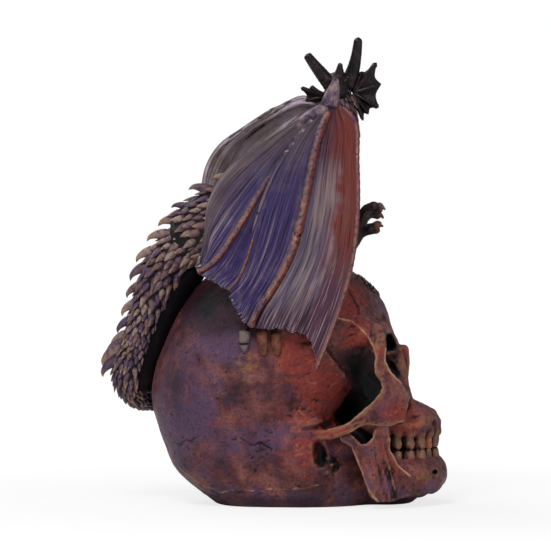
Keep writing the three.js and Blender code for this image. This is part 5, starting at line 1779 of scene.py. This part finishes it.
class STATUE_OT_body(bpy.types.Operator):
    """Sculpt the dragon's trunk and neck, with their scales and spines"""
    bl_idname = "statue.body"
    bl_label = "Body"

    def execute(self, context):
        sizes, colours = settings_of(context)
        hide, scales = under_finish(colours), scale_finish(colours)
        size = (sizes.scale_length / MM, sizes.scale_width / MM)
        torso = torso_clay(0.9).cast("torso_hide")
        mark_relief(torso)
        dress(torso, hide, "hide", "torso")
        path = smooth_path(at(TRUNK), 61)[::-1]
        girths = spread(TRUNK_GIRTHS, 61)[::-1]
        feet = scale_feet(path, girths, 3.6, 4.4, 0.0, 1.0, math.pi * 0.8, UP)
        dress(scaly("torso_scales", *feet, *size, torso), scales, "hide", "torso")
        shares, lengths = stand_at(path, girths + 2, BACK_TIPS, UP)
        dress(spiny("torso_spines", path, girths + 2, shares, lengths, UP), scales, "hide", "torso")
        path = smooth_path(at(NECK), 41)
        girths = spread(NECK_GIRTHS, 41)
        neck = tube("neck_hide", at(NECK), NECK_GIRTHS, sides=24, steps=10, dome=0.1)
        mark_relief(neck)
        dress(neck, hide, "hide", "neck")
        back = np.array([0.0, 1.0, 0.2])
        feet = scale_feet(path[::-1], girths[::-1], 3.6, 4.2, 0.04, 0.96, math.pi, back)
        dress(scaly("neck_scales", *feet, size[0] * 0.95, size[1] * 0.95), scales, "hide", "neck")
        lengths = np.array([0.5, 0.6, 0.7, 0.75]) * sizes.spine_length / MM
        dress(spiny("neck_spines", path[::-1], girths[::-1], [0.2, 0.42, 0.64, 0.86], lengths,
                    back),
              scales, "hide", "neck")
        return {"FINISHED"}


class STATUE_OT_tail(bpy.types.Operator):
    """Lay the tail down the back of the skull and round its left side"""
    bl_idname = "statue.tail"
    bl_label = "Tail"

    def execute(self, context):
        sizes, colours = settings_of(context)
        hide, scales = bpy.data.materials["under_paint"], bpy.data.materials["scale_paint"]
        size = (sizes.scale_length / MM, sizes.scale_width / MM)
        whole = smooth_path(at(TAIL), 641)
        girths = spread(TAIL_GIRTHS, 641) * TAIL_RADIUS
        counts = {"tail_wrap": 6, "tail_tip": 11}
        for name, (start, end) in TAIL_PIECES.items():
            first, last = int(start * 640), int(end * 640)
            path, girth = whole[first:last + 1], girths[first:last + 1]
            ends = girth[::4].copy()
            ends[[0, -1]] = 0
            tangents = unit(np.gradient(path, axis=0))
            outs = away_from_skull(path, tangents)
            others = np.cross(tangents, outs)
            angle = once_round(24)
            around = (np.cos(angle)[None, :, None] * outs[::4, None]
                      + np.sin(angle)[None, :, None] * others[::4, None])
            body = path[::4, None] + ends[:, None, None] * around
            piece = wrapped(f"{name}_hide", body)
            mark_relief(piece)
            dress(piece, hide, "hide", name)
            feet = scale_feet(path, girth, 3.5, 4.2)
            dress(scaly(f"{name}_scales", *feet, *size), scales, "hide", name)
            if name in TAIL_TIPS:
                shares, reach = stand_at(path, girth, TAIL_TIPS[name])
            else:
                shares = (np.arange(counts[name]) + 0.5) / counts[name]
                reach = (0.85 - 0.75 * (start + (end - start) * shares)) * sizes.spine_length / MM
            dress(spiny(f"{name}_spines", path, girth, shares, reach), scales, "hide", name)
        # A near black fill of painted shade closes the gap between the tail and the skull.
        gap_shade_sheet = tube("tail_shadow_fill", TAIL_SHADOW_FILL, [4, 6.6, 6.4, 6, 5.6, 5.4, 5.4, 3.4], sides=20,
                   towards=ACROSS)
        mark_relief(gap_shade_sheet)
        dress(gap_shade_sheet, shadow_fill_finish(colours), "hide")
        return {"FINISHED"}


class STATUE_OT_head(bpy.types.Operator):
    """Sculpt the dragon's head with its horns and ear fins"""
    bl_idname = "statue.head"
    bl_label = "Head"

    def execute(self, context):
        sizes, colours = settings_of(context)
        skin, horn = head_finish(colours), horn_finish(colours)
        head = head_clay(sizes.fine_grain / MM * 0.8).cast("head_hide", 1)
        roughen(head, (0.2, 2.2, 4))
        mark_relief(head, 2, 10)
        dress(head, skin, "dark_hide", "head")
        eyes = [wrapped("eye", eye_places((10.2, -27 + side * 4.7, 177.5), 1.25)) for side in (1,
                                                                                               -1)]
        dress(joined("head_eyes", eyes), claw_finish(colours), "dark_hide", "head")
        for name, (shares, girths) in HORNS.items():
            dress(horn_piece(f"{name}_horn", shares, girths), horn, "dark_hide", name)
        for name, (root, tips, knobs) in FINS.items():
            dress(fin_piece(f"{name}_web", root, tips, knobs), horn, "dark_hide", name)
        return {"FINISHED"}


class STATUE_OT_wings(bpy.types.Operator):
    """Hang both wings from their wrists"""
    bl_idname = "statue.wings"
    bl_label = "Wings"

    def execute(self, context):
        sizes, colours = settings_of(context)
        paints = wing_finish(colours), rib_finish(colours), arm_finish(colours)
        thickness, radius = sizes.skin_thickness / MM, sizes.rib_radius / MM
        for name, side in (("wing_right", -1), ("wing_left", 1)):
            pieces = wing(name, side, 100, sizes.wing_columns, thickness, sizes.striation / MM,
                          radius)
            for piece, finish in zip(pieces, paints):
                dress(piece, finish, "wing_skin", name)
        return {"FINISHED"}


class STATUE_OT_legs(bpy.types.Operator):
    """Sculpt the four legs with their claws"""
    bl_idname = "statue.legs"
    bl_label = "Legs"

    def execute(self, context):
        sizes = context.scene.statue_sizes
        skin, claw = bpy.data.materials["head_paint"], bpy.data.materials["claw_paint"]
        grain = sizes.fine_grain / MM
        for side, word in ((-1, "right"), (1, "left")):
            for kind, slot, *shape in (
                    ("foreleg", "dark_hide", FORE, FORE_GIRTHS, FORE_TOES, FORE_CLAWS, FORE_NAILS),
                    ("hind_leg", "hide", HIND, HIND_GIRTHS, HIND_TOES, HIND_CLAWS, HIND_NAILS)):
                node = f"{kind}_{word}"
                limb, nails = leg(f"{node}_hide", side, *shape, grain)
                dress(limb, skin, slot, node)
                dress(nails, claw, slot, node)
        return {"FINISHED"}


class STATUE_OT_pins(bpy.types.Operator):
    """Give the locating pins their steel"""
    bl_idname = "statue.pins"
    bl_label = "Pins"

    def execute(self, context):
        steel = steel_finish()
        for name in ("body_pin_front", "body_pin_rear", "head_pin"):
            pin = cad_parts[name]
            pin.data.materials.clear()
            pin.data.materials.append(steel)
        return {"FINISHED"}


# Where the camera and the lamps look, and each lamp's place, size and power
STATUE_MIDDLE = (0, -0.0006, 0.0972)
LAMPS = (("key_light", (-0.9, 0.3, 1.1), 0.5, 11), ("fill_light", (-0.9, -0.9, 0.5), 0.9, 3),
         ("rim_light", (0.7, 0.6, 0.9), 0.6, 5))
SENSOR_WIDTH = 36


class STATUE_OT_stage(bpy.types.Operator):
    """Set the floor, the light and the camera"""
    bl_idname = "statue.stage"
    bl_label = "Stage"

    def execute(self, context):
        stage = context.scene.statue_stage
        bpy.ops.object.select_all(action="DESELECT")
        bpy.ops.mesh.primitive_circle_add(vertices=96, radius=3, fill_type="NGON",
                                          location=(0, 0, 0))
        floor = bpy.context.object
        floor.name = floor.data.name = "stage_floor"
        material = bpy.data.materials.new("floor_paint")
        material.use_nodes = True
        tree = material.node_tree
        shader = tree.nodes["Principled BSDF"]
        shader.inputs["Roughness"].default_value = 0.9
        shader.inputs["Base Color"].default_value = (*stage.floor, 1)
        glow = tree.nodes.new("ShaderNodeEmission")
        mix = tree.nodes.new("ShaderNodeMixShader")
        path = tree.nodes.new("ShaderNodeLightPath")
        glow.inputs["Strength"].default_value = 1.04
        place = tree.nodes.new("ShaderNodeTexCoord")
        away = tree.nodes.new("ShaderNodeVectorMath")
        away.operation = "LENGTH"
        fade = tree.nodes.new("ShaderNodeMapRange")
        for index, value in enumerate((0.1, 0.34, 0.74, 1.0), 1):
            fade.inputs[index].default_value = value
        seen = tree.nodes.new("ShaderNodeMath")
        seen.operation = "MULTIPLY"
        for out, into in (
                (place.outputs["Object"], away.inputs[0]), (away.outputs["Value"], fade.inputs[0]),
                (path.outputs["Is Camera Ray"], seen.inputs[0]), (fade.outputs[0], seen.inputs[1]),
                (seen.outputs[0], mix.inputs[0]), (shader.outputs[0], mix.inputs[1]),
                (glow.outputs[0], mix.inputs[2]),
                (mix.outputs[0], tree.nodes["Material Output"].inputs["Surface"])):
            tree.links.new(out, into)
        floor.data.materials.append(material)

        world = bpy.data.worlds.new("stage_light")
        context.scene.world = world
        world.use_nodes = True
        tree = world.node_tree
        sky = tree.nodes["Background"]
        sky.inputs["Color"].default_value = (1, 1, 1, 1)
        path = tree.nodes.new("ShaderNodeLightPath")
        seen = tree.nodes.new("ShaderNodeMapRange")
        seen.inputs[3].default_value, seen.inputs[4].default_value = 0.3, 1.0
        tree.links.new(path.outputs["Is Camera Ray"], seen.inputs[0])
        tree.links.new(seen.outputs[0], sky.inputs["Strength"])

        middle = Vector(STATUE_MIDDLE)
        for name, place, size, power in LAMPS:
            bpy.ops.object.light_add(type="AREA", location=place)
            lamp = bpy.context.object
            lamp.name = name
            lamp.data.size, lamp.data.energy = size, power
            lamp.rotation_euler = (middle - Vector(place)).to_track_quat("-Z", "Y").to_euler()
        tilt = stage.elevation
        bpy.ops.object.camera_add(
            location=middle + stage.distance * Vector((-math.cos(tilt), 0, math.sin(tilt))))
        camera = bpy.context.object
        camera.name = "stage_camera"
        camera.rotation_euler = (middle - camera.location).to_track_quat("-Z", "Y").to_euler()
        camera.data.sensor_width = SENSOR_WIDTH
        camera.data.lens = SENSOR_WIDTH * stage.distance / stage.view_width
        camera.data.clip_start = 0.01
        context.scene.camera = camera
        context.scene.view_settings.view_transform = "Standard"
        return {"FINISHED"}


STEPS = (STATUE_OT_skull, STATUE_OT_mandible, STATUE_OT_body, STATUE_OT_tail, STATUE_OT_head,
         STATUE_OT_wings, STATUE_OT_legs, STATUE_OT_pins, STATUE_OT_stage)


class STATUE_PT_panel(bpy.types.Panel):
    """The statue's sizes, colours and making steps"""
    bl_idname = "STATUE_PT_panel"
    bl_label = "Dragon skull statue"
    bl_space_type = "VIEW_3D"
    bl_region_type = "UI"
    bl_category = "Statue"

    def draw(self, context):
        layout = self.layout
        for settings in (context.scene.statue_sizes, context.scene.statue_colours,
                         context.scene.statue_stage):
            column = layout.column(align=True)
            for key in settings.__annotations__:
                column.prop(settings, key)
        for step in STEPS:
            layout.operator(step.bl_idname)


CLASSES = (STATUE_PG_sizes, STATUE_PG_colours, STATUE_PG_stage, *STEPS, STATUE_PT_panel)


def register():
    for item in CLASSES:
        bpy.utils.register_class(item)
    bpy.types.Scene.statue_sizes = PointerProperty(type=STATUE_PG_sizes)
    bpy.types.Scene.statue_colours = PointerProperty(type=STATUE_PG_colours)
    bpy.types.Scene.statue_stage = PointerProperty(type=STATUE_PG_stage)


def unregister():
    del bpy.types.Scene.statue_stage
    del bpy.types.Scene.statue_colours
    del bpy.types.Scene.statue_sizes
    for item in reversed(CLASSES):
        bpy.utils.unregister_class(item)


def main():
    register()
    for step in STEPS:
        group, name = step.bl_idname.split(".")
        getattr(getattr(bpy.ops, group), name)()


if __name__ == "__main__":
    main()
